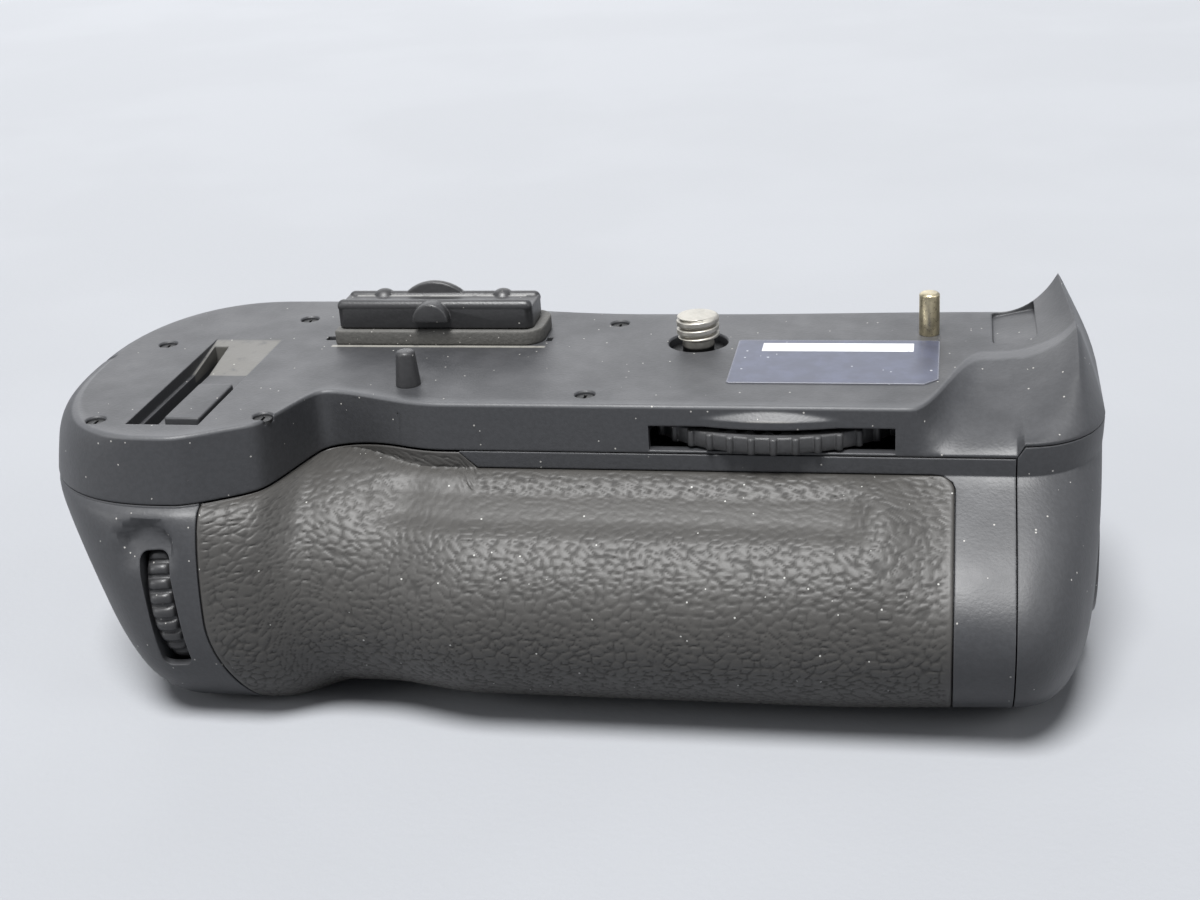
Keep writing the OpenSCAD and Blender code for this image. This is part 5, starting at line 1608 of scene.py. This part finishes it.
    def top_cutters(self) -> list[Shape]:
        """Hollows of the upper casing."""
        wheel = WHEEL_AT
        cuts = [
            box((-58, -19.2, -20), (35.5, 12.2, -self.plate_t)),
            box((-40, -24.7, -20), (33, -14.2, -self.plate_t)),
            box((-80, -34, -20), (-62, 12, -self.plate_t - 4.0)),
            rod(22.6, -self.slot_low, -self.slot_high, count=128).moved(Place((*wheel, 0))),
            box(
                (self.slot_x - self.slot_width / 2, -31, -self.slot_low),
                (self.slot_x + self.slot_width / 2, -20, -self.slot_high),
            ),
            turned([(4.4, -3.2), (4.4, -0.25), (4.65, 0.02), (4.65, 1)], 96),
            box((-52.2, 0, -3), (-27.8, 5.2, 1)),
            box((-58.4, 0.1, -0.9), (-56.3, 1.9, 1.1)),
            box((-23.4, 0.1, -0.9), (-22.5, 1.9, 1.1)),
            self.cap_holder(),
            box((-75.9, -34.4, -4.2), (-73.6, -2.0, 0.8)),
            self.lip_panel(),
        ]
        for x, y in PLATE_SCREWS:
            profile = [(1.4, -0.9), (1.4, -0.2), (1.62, 0.02), (1.62, 1.1)]
            cuts.append(turned(profile, 40).moved(Place((x, y, 0))))
        return cuts

    def lip_panel(self) -> Shape:
        """The sunken panel on the lip's inner face."""
        return soft_block((6.4, 14, 4), 0.9, 0.1).moved(Place((43.2, -0.4, -0.75), (0, -12, 0)))

    def cap_holder(self) -> Shape:
        """The holder for the loose cap: a sunk field with a ramp behind and a raised tongue."""
        depth, length, width, ramp = 1.8, 35.4, 10.8, 11.4
        x0, y0 = -76.4, -35.0
        y = np.array([y0, y0 + length - ramp, y0 + length])
        floor = np.array([-depth, -depth, 0.0])
        low = np.stack([np.full(3, x0), y, floor], -1)
        high = np.stack([np.full(3, x0), y, np.full(3, 1.0)], -1)
        ring = np.concatenate([low, high[::-1]])
        shape = loft(np.stack([ring, ring + [width, 0, 0]]))
        piece = make_object("holder", shape)
        tongue = soft_block((5.3, 13.6, depth + 0.8), 0.4, 0.25, (x0 + 4.4, y0 + 3, -depth - 1.0))
        carve(piece, [tongue])
        return take_shape(piece)

    def door(self) -> bpy.types.Object:
        """The battery door: the body's section carried round the right end, with its hollows."""
        f = self.form
        a = np.radians(np.concatenate([np.linspace(4, 80, 22), [83, 86]]))
        along = (np.sin(a) / math.sin(math.radians(86))) ** (2 / f.end_bend)
        round_xs = mix(f.door_x, f.right_reach, along)
        xs = np.concatenate([[f.door_x + f.seam_gap / 2, f.door_x + 0.25], round_xs])
        s = Stations.along(f, np.unique(xs), 0)
        front = f.front(s, self.grip_rows(True), 0 * self.grip_rows(True))
        back = f.back(s, self.grip_rows(False), 0 * self.grip_rows(False))
        shape = loft(np.concatenate([front, back[:, ::-1]], 1), Ends.STITCHED)
        piece = make_object("door_shell", shape)
        inner = f.right_reach - f.door_x - 4 - 2.4
        hollow = make_object(
            "door_hollow",
            box((f.door_x - 1, -22.5, CHAMBER_Z - 12), (f.door_x + inner, 4.5, CHAMBER_Z + 12)),
        )
        axis = Place((f.door_x, -9, CHAMBER_Z), (0, 90, 0))
        carve(hollow, [rod(5.4, -2, 18).moved(axis)])
        knob_floor = f.right_reach - f.door_x - 4
        rim = f.right_reach - f.door_x
        seat = turned(
            [(11.4, knob_floor), (11.4, rim - 0.9), (12.1, rim + 0.1), (12.1, rim + 3)], 128
        )
        cuts = [take_shape(hollow), seat.moved(axis), rod(3.05, -2, 18).moved(axis)]
        for y in (-1, 1):
            for z in (-1, 1):
                spot = Place((f.door_x - 1, -9 + y * 15.3, CHAMBER_Z + z * 13.7), (0, 90, 0))
                cuts.append(rod(0.7, 0, 6, count=24).moved(spot))
        carve(piece, cuts)
        return settle(piece, Body.DRAWER, Slot.CASING, self.finishes.casing, "battery_door")

    def build(self) -> None:
        """Builds the casings, the covers and the door."""
        self.top_casing()
        self.grip_casing()
        self.front_cover()
        self.thumb_cover()
        self.door()


# Camera screw, wheel and pins


@dataclass
class Attachment:
    """What joins the grip to the camera: screw, ribbed wheel, pin, post and label."""

    finishes: Finishes
    screw_r: float = 3.175
    screw_h: float = 4.3
    neck_r: float = 2.35
    neck_h: float = 0.7
    thread_pitch: float = 1.27
    thread_depth: float = 0.62
    wheel_r: float = 22.2
    wheel_top: float = 3.8
    wheel_t: float = 2.4
    rib_count: int = 45
    tooth_count: int = 48
    rib_half: float = 0.56
    rib_out: float = 0.6

    def screw(self) -> bpy.types.Object:
        """The camera screw.

        The radius of its thread is the outer radius less the thread's depth times a rounded
        triangle wave of height over pitch minus turn, and it fades into the neck and the chamfer.
        """
        turn_share = np.linspace(0, 1, 96, endpoint=False)[None, :]
        z = np.linspace(self.neck_h, self.screw_h, 64)[:, None]
        phase = (z / self.thread_pitch - turn_share) % 1.0
        groove = ease(0.24, 0.5, phase) * (1 - ease(0.5, 0.76, phase))
        radius = self.screw_r - self.thread_depth * groove
        end = clamp((self.screw_h - z) / 0.5)
        radius = np.minimum(radius, self.screw_r - 0.5 * (1 - np.sqrt(1 - (1 - end) ** 2)))
        start = ease(self.neck_h, self.neck_h + 0.45, z)
        radius = mix(self.neck_r, radius, start)
        foot = np.array([2.5, 2.5, 4.1, 4.1, self.neck_r, self.neck_r])[:, None]
        foot_z = np.array([-8.4, -1.61, -1.59, -1.21, -1.19, self.neck_h - 0.05])[:, None]
        rows = np.concatenate([foot + 0 * turn_share, radius])
        heights = np.concatenate([foot_z, z]) + 0 * turn_share
        angle = 2 * math.pi * turn_share
        rings = np.stack([rows * np.cos(angle), rows * np.sin(angle), heights], -1)
        piece = make_object("threaded_screw", loft(rings), 50.0)
        return settle(
            piece, Body.SCREW, Slot.NICKEL, self.finishes.threaded, "camera_screw"
        )

    def wheel(self) -> bpy.types.Object:
        """The attachment wheel.

        Its section closes on itself. The rim adds half round ribs, the root of 1 - (t / half
        width) squared, and the inside steps between tooth root and tip.
        """
        pitch = 2 * math.pi * self.wheel_r / self.rib_count
        across = np.array(
            [-1.45, -1.0, -0.7, -0.561, -0.53, -0.45, -0.3, -0.1]
            + [0.1, 0.3, 0.45, 0.53, 0.561, 0.7, 1.0]
        )
        centre = np.arange(self.rib_count)[:, None] * pitch
        arc = (centre + across[None, :] * pitch / 3.1).ravel()
        angle = arc / self.wheel_r
        t = np.tile(across, self.rib_count)
        rib = np.sqrt(clamp(1 - (t / self.rib_half) ** 2))
        rim = self.wheel_r - self.rib_out + self.rib_out * rib
        first = math.atan2(-WHEEL_AT[1], -WHEEL_AT[0])
        tooth = ((angle - first) * self.tooth_count / (2 * math.pi) + 0.5) % 1.0 - 0.5
        inner = mix(20.08, 18.48, clamp((abs(tooth) - 0.17) / 0.23))
        bore = np.full(len(arc), 17.25)
        t1, round_in = self.wheel_t, 0.28
        rows = [
            (bore, 0.0),
            (rim - round_in, 0.0),
            (rim - 0.08, 0.08),
            (rim, round_in),
            (rim, t1 - round_in),
            (rim - 0.08, t1 - 0.08),
            (rim - round_in, t1),
            (inner, t1),
            (inner, 0.8),
            (bore, 0.8),
        ]
        radius = np.stack([r for r, _ in rows])
        z = np.stack([np.full(len(arc), h) for _, h in rows]) - self.wheel_top - self.wheel_t
        rings = np.stack([radius * np.cos(angle), radius * np.sin(angle), z], -1)
        rings = rings + np.array([*WHEEL_AT, 0.0])
        piece = make_object("ribbed_wheel", loft(rings, Ends.LOOPED), 42.0)
        return settle(piece, Body.WHEEL, Slot.CONTROL, self.finishes.dusty, "attachment_wheel")

    def pins(self) -> None:
        """The brass pin and the tapered post, as turned sections with rounded shoulders."""
        profile = soft_profile(
            [(1.3, -2.0), (1.3, -0.02), (1.5, 0.0), (1.5, 6.15), (1.2, 6.4), (0.05, 6.4)], 0.12
        )
        pin = make_object("locating_pin", turned(profile, 72).moved(Place((33.9, 4, 0))), 30.0)
        settle(pin, Body.HOUSING, Slot.PIN, self.finishes.brass, "alignment_pin")
        profile = soft_profile([(1.83, 0.0), (1.38, 4.9), (1.05, 5.2), (0.05, 5.2)], 0.25)
        tapered = turned(profile, 64).moved(Place((-39.8, -18.6, 0)))
        post = make_object("tapered_post", tapered, 30.0)
        settle(post, Body.HOUSING, Slot.CONTROL, self.finishes.control, "guide_post")

    def label(self) -> bpy.types.Object:
        """The bare label: its outline with one cut corner, raised with a drawn in upper rim."""
        cut, length, width = 1.9, 29.4, 17.7
        outline = np.array(
            [(0.3, 0), (length - cut, 0), (length, cut), (length, width - 0.3)]
            + [(length - 0.3, width), (0.3, width), (0, width - 0.3), (0, 0.3)],
            float,
        )
        middle = outline.mean(0)
        levels = [(1.0, 0.01), (1.0, 0.12), (0.994, 0.16)]
        rings = [
            np.column_stack([middle + (outline - middle) * k, np.full(len(outline), z)])
            for k, z in levels
        ]
        shape = loft(np.array(rings) + np.array([6.1, -17.2, 0.0]))
        piece = make_object("bare_label", shape, 20.0)
        return settle(piece, Body.HOUSING, Slot.LABEL, self.finishes.label, "label_plate")

    def build(self) -> None:
        """Builds the screw, the wheel, the pins and the label, and dresses the drive."""
        self.screw()
        self.wheel()
        self.pins()
        self.label()
        carry_over(
            self.finishes.steel, "screw_gear", "screw_clip", "drive_plate", "drive_screws"
        )
        carry_over(self.finishes.blackened, "plate_screws", "base_screws")
        carry_over(self.finishes.nickel, "tripod_socket")


# Connector


@dataclass
class Connector:
    """Collar, contact block and the lift-off cap."""

    finishes: Finishes
    cap_at: tuple[float, float] = (-55.6, -1.4)
    cap_size: tuple[float, float] = (30.6, 8.0)
    cap_low: float = 2.45
    cap_high: float = 6.8

    def collar(self) -> bpy.types.Object:
        """The collar round the contacts: a block with round right hand corners and soft rims."""
        block = soft_block((32.5, 10.6, 2.3), (3.0, 0.5, 0.5, 3.0), 0.3, (-56.1, -2.1, 0.0))
        piece = make_object("contact_collar", block, 30.0)
        carve(piece, [box((-52.2, 0.0, -1), (-27.8, 5.2, 4))], 30.0)
        return settle(
            piece, Body.HOUSING, Slot.CASING, self.finishes.gritty, "connector_collar"
        )

    def bar(self, y: float, z: float, radius: float = 1.0) -> Shape:
        """A round ridge along the cap: a circle carried along X with drawn in ends.

        Args:
            y: Its middle across the cap.
            z: Its middle's height.
            radius: The circle's radius.

        Returns:
            The ridge, as long as the cap.
        """
        length = self.cap_size[0]
        a = np.radians(np.linspace(-90, 90, 13))
        near_end = radius * (1 + np.sin(a[:7]))
        x = np.concatenate([near_end, length - radius + radius * np.sin(a[6:])])
        r = np.maximum(radius * np.cos(np.concatenate([a[:7], a[6:]])), 0.03)
        b = np.linspace(0, 2 * math.pi, 28, endpoint=False)
        rings = np.stack(
            [
                np.repeat(x[:, None], len(b), 1) + self.cap_at[0],
                y + r[:, None] * np.cos(b),
                z + r[:, None] * np.sin(b),
            ],
            -1,
        )
        return loft(rings)

    def tab(
        self, x: float, y: float, radius: float, low: float, high: float, depth: float
    ) -> Shape:
        """A half disc that stands on edge: a circle's part above a level line.

        Args:
            x: Its middle.
            y: Its front face.
            radius: The circle's radius.
            low: Height of the level line.
            high: Height of its top.
            depth: Its thickness.

        Returns:
            The tab, with its rim drawn in on both faces.
        """
        centre = high - radius
        start = math.asin((low - centre) / radius)
        a = np.linspace(start, math.pi - start, 40)
        soft = 0.35
        rim = [(soft, 0.0), (0.1, 0.12), (0.0, soft)]
        rings = []
        for draw, back in rim + [(drawn, depth - b) for drawn, b in rim[::-1]]:
            r = radius - draw
            rings.append(
                np.stack([x + r * np.cos(a), np.full(len(a), y + back), centre + r * np.sin(a)], -1)
            )
        return loft(np.array(rings))

    def cap(self) -> bpy.types.Object:
        """The lift-off cap: a soft block with two ridges, a finger tab, a thumb rib and bumps."""
        (x0, y0), (length, width) = self.cap_at, self.cap_size
        rear = self.cap_high - 0.6
        size = (length, width, rear - 0.5 - self.cap_low)
        body = soft_block(size, 1.4, 0.25, (x0, y0, self.cap_low))
        piece = make_object("connector_cap", body, 32.0)
        extra = [
            self.bar(y0 + 1, self.cap_high - 1),
            self.bar(y0 + width - 1, rear - 1),
            self.tab(-41.7, y0 + width - 1.6, 6.9, self.cap_high - 2.0, self.cap_high + 1.0, 1.4),
            self.tab(-40.4, y0 - 1.8, 2.8, 4.1, 6.9, 3.0),
        ]
        for x in (-49.9, -30.9):
            extra.append(bead(2.0).moved(Place((x, y0 + width - 1, rear - 1.6))))
        for x in (-49.8, -31.0):
            extra.append(bead(1.0).moved(Place((x, y0 + 2.3, rear - 1.3))))
        carve(piece, extra, 32.0, add=True)
        hollow = box(
            (x0 + 1.2, y0 + 1.2, self.cap_low - 1), (x0 + length - 1.2, y0 + width - 1.2, 5.0)
        )
        carve(piece, [hollow], 32.0)
        return settle(piece, Body.CAP, Slot.CONTROL, self.finishes.cap, "contact_cap")

    def build(self) -> None:
        """Builds the collar and the cap, and dresses the contacts."""
        self.collar()
        self.cap()
        carry_over(self.finishes.insulator, "contact_block")
        carry_over(self.finishes.gold, "contact_pins")


# Controls


@dataclass(frozen=True)
class Dial:
    """A command dial with rounded ridges, on its shaft along the local X axis."""

    radius: float = 12.0
    width: float = 3.6
    ridges: int = 34
    ridge_out: float = 0.62
    crown: float = 0.25

    @staticmethod
    def pocket(place: Place, side: int) -> list[Shape]:
        """Cutters of a dial's pocket: its disc, the window to the outside and the shaft's hole."""
        half, reach, length = 2.25, 20.0, 17.8
        outline = rounded_outline(2 * half, length, 1.4, 8) - [half, length / 2]
        x, z = outline.T
        window = loft(
            np.array([np.column_stack([x, np.full(len(x), y), z]) for y in (0.0, side * reach)])
        )
        along = Place((0, 0, 0), (0, 90, 0))
        disc = rod(12.5, -half, half, count=128).moved(along)
        hole = rod(1.23, -4.8, 4.8, count=32).moved(along)
        return [part.moved(place) for part in (disc, window, hole)]

    def shape(self) -> Shape:
        """The dial as a closed ring.

        The rim's radius is the root radius plus a ridge, a root of 1 - t^2.6 across each ridge,
        and falls with the square of the distance from the middle plane.
        """
        half_ridge = [0.16, 0.29, 0.35, 0.38, 0.43]
        across = np.array([-0.5, *(-v for v in half_ridge[::-1]), 0.0, *half_ridge])
        angle = ((np.arange(self.ridges)[:, None] + across[None, :]) / self.ridges).ravel()
        angle = angle * 2 * math.pi
        t = np.tile(across, self.ridges) / 0.38
        ridge = clamp(1 - abs(t) ** 2.6) ** 0.55
        half, root = self.width / 2, self.radius - self.ridge_out
        section = [(1.25, -half, 0), (3.0, -half, 0), (3.0, -half + 1, 0), (9.8, -half + 1, 0)]
        section += [(9.8, -half, 0), (root - 0.45, -half, 0)]
        for u in np.linspace(-1, 1, 9):
            x = u * (half - 0.12)
            section.append((root - self.crown * u * u, x, 1 - 0.75 * abs(u) ** 6))
        section += [(root - 0.45, half, 0), (9.8, half, 0), (9.8, half - 1, 0), (3.0, half - 1, 0)]
        section += [(3.0, half, 0), (1.25, half, 0)]
        r0, x0, gain = (np.array(v)[:, None] for v in zip(*section))
        radius = r0 + gain * self.ridge_out * ridge
        rings = np.stack(
            [x0 + 0 * radius, radius * np.cos(angle), radius * np.sin(angle)], -1
        )
        return loft(rings, Ends.LOOPED)


@dataclass
class Controls:
    """Dials, shutter button with its lock collar, focus button and multi selector."""

    finishes: Finishes
    dial: Dial = field(default_factory=Dial)

    def dials(self) -> None:
        """Both command dials."""
        for name, node, place, body in (
            ("front_ridged_dial", "front_dial", FRONT_DIAL, Body.FRONT_DIAL),
            ("rear_ridged_dial", "rear_dial", REAR_DIAL, Body.REAR_DIAL),
        ):
            piece = make_object(name, self.dial.shape().moved(place), 40.0)
            settle(piece, body, Slot.CONTROL, self.finishes.control, node)

    def release(self) -> None:
        """The shutter button with a dished top, and the knurled lock collar with its lever."""
        dish = [(r, 2.3 - 0.45 * (1 - (r / 3.9) ** 2)) for r in (3.9, 3.2, 2.4, 1.6, 0.8, 0.05)]
        profile = [(1.6, -8.6), (1.6, -1.1), (5.0, -1.1), (5.0, 1.8), (4.5, 2.25), *dish]
        button = make_object("dished_button", turned(profile, 96).moved(SHUTTER), 34.0)
        settle(button, Body.RELEASE, Slot.CONTROL, self.finishes.control, "shutter_button")
        count = 240
        angle = np.linspace(0, 2 * math.pi, count, endpoint=False)
        knurl = 0.16 * (0.5 + 0.5 * np.cos(angle * 60)) * ease(-0.15, 0.25, -np.sin(angle))
        section = [(5.3, -2.3, 0), (8.8, -2.3, 0), (8.8, -0.8, 0), (8.8, -0.6, 1), (8.8, 0.7, 1)]
        section += [(8.5, 1.1, 1), (7.8, 1.5, 0), (5.6, 1.5, 0), (5.3, 1.2, 0)]
        r0, z0, gain = (np.array(v)[:, None] for v in zip(*section))
        radius = r0 - gain * knurl
        rings = np.stack([radius * np.cos(angle), radius * np.sin(angle), z0 + 0 * radius], -1)
        piece = make_object("lock_ring", loft(rings, Ends.LOOPED).moved(SHUTTER), 34.0)
        lever = soft_block((3.0, 2.9, 1.9), 0.7, 0.4, (-1.5, 5.6, 0.6)).moved(SHUTTER)
        carve(piece, [lever], 34.0, add=True)
        settle(piece, Body.LOCK, Slot.CONTROL, self.finishes.control, "lock_collar")

    def focus(self) -> None:
        """The focus button: a turned section with a softly domed face."""
        dome = [(r, 1.4 - 0.28 * (r / 3.5) ** 2) for r in (3.5, 2.8, 2.0, 1.0, 0.05)]
        profile = [(1.3, -4.0), (1.3, -0.8), (4.0, -0.8), (4.0, 0.9), *dome]
        piece = make_object("round_button", turned(profile, 72).moved(FOCUS), 34.0)
        settle(piece, Body.FOCUS, Slot.CONTROL, self.finishes.control, "focus_button")

    def selector(self) -> None:
        """The multi selector: a dished pad with four small arrow dimples on its stem."""
        profile = [(1.6, -2.4), (1.6, 0.4), (7.0, 0.4), (7.0, 1.2), (6.6, 1.7), (5.8, 2.08)]
        dish = [(r, 2.1 - 0.55 * (1 - (r / 5) ** 2)) for r in (5.0, 4.0, 3.0, 2.0, 1.0, 0.05)]
        piece = make_object("dished_selector", turned(profile + dish, 96).moved(SELECTOR), 34.0)
        pin = rod(0.5, -3.7, 3.7, count=24).moved(Place((0, 0, -1.6), (90, 0, 0))).moved(SELECTOR)
        carve(piece, [pin], 34.0, add=True)
        cuts = []
        for quarter in range(4):
            spin = Place((0, 0, 0), (0, 0, 90.0 * quarter))
            mark = rod(0.7, 1.7, 3.7, count=3).moved(Place((5.1, 0, 0))).moved(spin)
            cuts.append(mark.moved(SELECTOR))
        carve(piece, cuts, 34.0)
        settle(piece, Body.SELECTOR, Slot.CONTROL, self.finishes.control, "multi_selector")

    def build(self) -> None:
        """Builds the controls and dresses their inner parts."""
        self.dials()
        self.release()
        self.focus()
        self.selector()
        carry_over(self.finishes.steel, "front_dial_shaft", "rear_dial_shaft", "selector_gimbal")
        carry_over(self.finishes.insulator, "shutter_switch", "focus_switch")
        carry_over(self.finishes.control, "selector_base")


# Power


@dataclass
class Power:
    """The battery tray, the latch in the door and the inner parts."""

    finishes: Finishes

    def build(self) -> None:
        """Dresses the tray, the latch and the board."""
        f = self.finishes
        carry_over(f.tray, "battery_tray")
        carry_over(f.nickel, "tray_springs", "tray_studs")
        carry_over(f.gold, "tray_terminals")
        carry_over(f.steel, "tray_screws", "latch_shaft", "latch_bar")
        carry_over(f.insulator, "chamber_terminals")
        carry_over(f.control, "latch_knob", "latch_key")
        carry_over(f.board, "circuit_board")


# Studio


class Light(Enum):
    """Kinds of lamp."""

    SUN = "SUN"
    AREA = "AREA"


@dataclass(frozen=True)
class Lamp:
    """A soft lamp that looks at the object.

    An area lamp's size is its side in metres and its power is in watts. A sun's size is the angle
    that it fills, in radians, and its power is its strength.
    """

    name: str
    at: tuple[float, float, float]
    size: float
    power: float
    kind: Light = Light.AREA
    aim: tuple[float, float, float] = (0.0, 0.0, -0.02)

    def build(self) -> None:
        """Adds the lamp: its -Z axis runs from its place to the aim, and its X axis is level."""
        data = bpy.data.lights.new(self.name, self.kind.value)
        data.energy = self.power
        if self.kind is Light.SUN:
            data.angle = self.size
        else:
            data.size = self.size
        lamp = bpy.data.objects.new(self.name, data)
        direction = np.array(self.aim) - np.array(self.at)
        direction = direction / np.linalg.norm(direction)
        side = np.cross(direction, [0.0, 0.0, 1.0])
        side = side / np.linalg.norm(side)
        up = np.cross(side, direction)
        turn_to = Matrix(np.column_stack([side, up, -direction]).tolist()).to_4x4()
        turn_to.translation = self.at
        lamp.matrix_world = turn_to
        bpy.context.scene.collection.objects.link(lamp)


@dataclass(frozen=True)
class Studio:
    """A pale floor, soft lamps, a plain world and the camera at the photograph's angle."""

    floor_z: float = -44.0
    floor_colour: tuple[float, float, float] = (0.33, 0.34, 0.36)
    floor_bounce: tuple[float, float, float] = (0.15, 0.16, 0.18)
    world_light: float = 0.13
    world_seen: float = 0.7
    lamps: tuple[Lamp, ...] = (
        Lamp("key", (-0.05, -0.4, 1.1), 0.42, 5.8, Light.SUN),
        Lamp("left", (-1.0, -0.6, 0.4), 0.4, 3.0),
        Lamp("right", (1.0, -0.4, 0.6), 0.5, 3.0),
        Lamp("back", (-0.3, 0.9, 0.5), 0.9, 3.0),
    )
    azimuth: float = 11.69
    elevation: float = 22.74
    roll: float = -3.71
    lens: float = 55.44
    camera_at: tuple[float, float, float] = (37.4, -258.5, 92.8)

    def floor(self) -> None:
        """One wide pale sheet under the object."""
        half = 2600.0
        corners = np.array([(-half, -half), (half, -half), (half, half), (-half, half)])
        mesh = bpy.data.meshes.new("floor")
        points = np.column_stack([corners, np.full(4, self.floor_z - 0.02)]) * MM
        mesh.from_pydata(points.tolist(), [], [(0, 1, 2, 3)])
        sheet = bpy.data.objects.new("floor", mesh)
        bpy.context.scene.collection.objects.link(sheet)
        g = Graph("floor_paper")
        tint = tuple(0.97 * c for c in self.floor_colour)
        colour = g.blend(g.ramp(g.noise(9.0), 0.4, 0.6), tint, self.floor_colour)
        colour = g.blend(seen_rays(g.tree), self.floor_bounce, colour)
        mesh.materials.append(g.finish(colour, 0.9, g.relief(g.noise(900.0), 0.05)))

    def light(self) -> None:
        """A wide soft sun above the front, three weak lamps round the sides and a plain world."""
        for lamp in self.lamps:
            lamp.build()
        world = bpy.data.worlds.new("studio")
        bpy.context.scene.world = world
        world.use_nodes = True
        tree = world.node_tree
        tree.nodes.clear()
        back = tree.nodes.new("ShaderNodeBackground")
        level = tree.nodes.new("ShaderNodeMapRange")
        tree.links.new(seen_rays(tree), level.inputs[0])
        level.inputs[3].default_value = self.world_light
        level.inputs[4].default_value = self.world_seen
        back.inputs[0].default_value = (0.9, 0.93, 1.0, 1.0)
        tree.links.new(level.outputs[0], back.inputs[1])
        out = tree.nodes.new("ShaderNodeOutputWorld")
        tree.links.new(back.outputs[0], out.inputs[0])

    def camera(self) -> None:
        """The camera.

        Its axes are the view direction from azimuth and elevation, and right and up turned by
        the roll about it.
        """
        az, el, roll = (math.radians(v) for v in (self.azimuth, self.elevation, self.roll))
        back = np.array([math.sin(az) * math.cos(el), -math.cos(az) * math.cos(el), math.sin(el)])
        right = np.cross(-back, [0.0, 0.0, 1.0])
        right = right / np.linalg.norm(right)
        up = np.cross(right, -back)
        c, s = math.cos(roll), math.sin(roll)
        axes = np.column_stack([c * right + s * up, -s * right + c * up, back])
        data = bpy.data.cameras.new("camera")
        data.lens = self.lens
        data.sensor_width = 36.0
        data.clip_start, data.clip_end = 0.01, 20.0
        camera = bpy.data.objects.new("camera", data)
        place = Matrix(axes.tolist()).to_4x4()
        place.translation = tuple(v * MM for v in self.camera_at)
        camera.matrix_world = place
        bpy.context.scene.collection.objects.link(camera)
        bpy.context.scene.camera = camera

    def build(self) -> None:
        """Sets up the floor, the light, the camera and the plain view transform."""
        self.floor()
        self.light()
        self.camera()
        bpy.context.scene.view_settings.view_transform = "Standard"


def main() -> None:
    """Builds the sub-assemblies in order, then the studio round them."""
    logging.basicConfig(level=logging.INFO, format="%(name)s: %(message)s")
    finishes = Finishes()
    Studio().build()
    for part in (
        Casings(finishes),
        Attachment(finishes),
        Connector(finishes),
        Controls(finishes),
        Power(finishes),
    ):
        part.build()


if __name__ == "__main__":
    main()
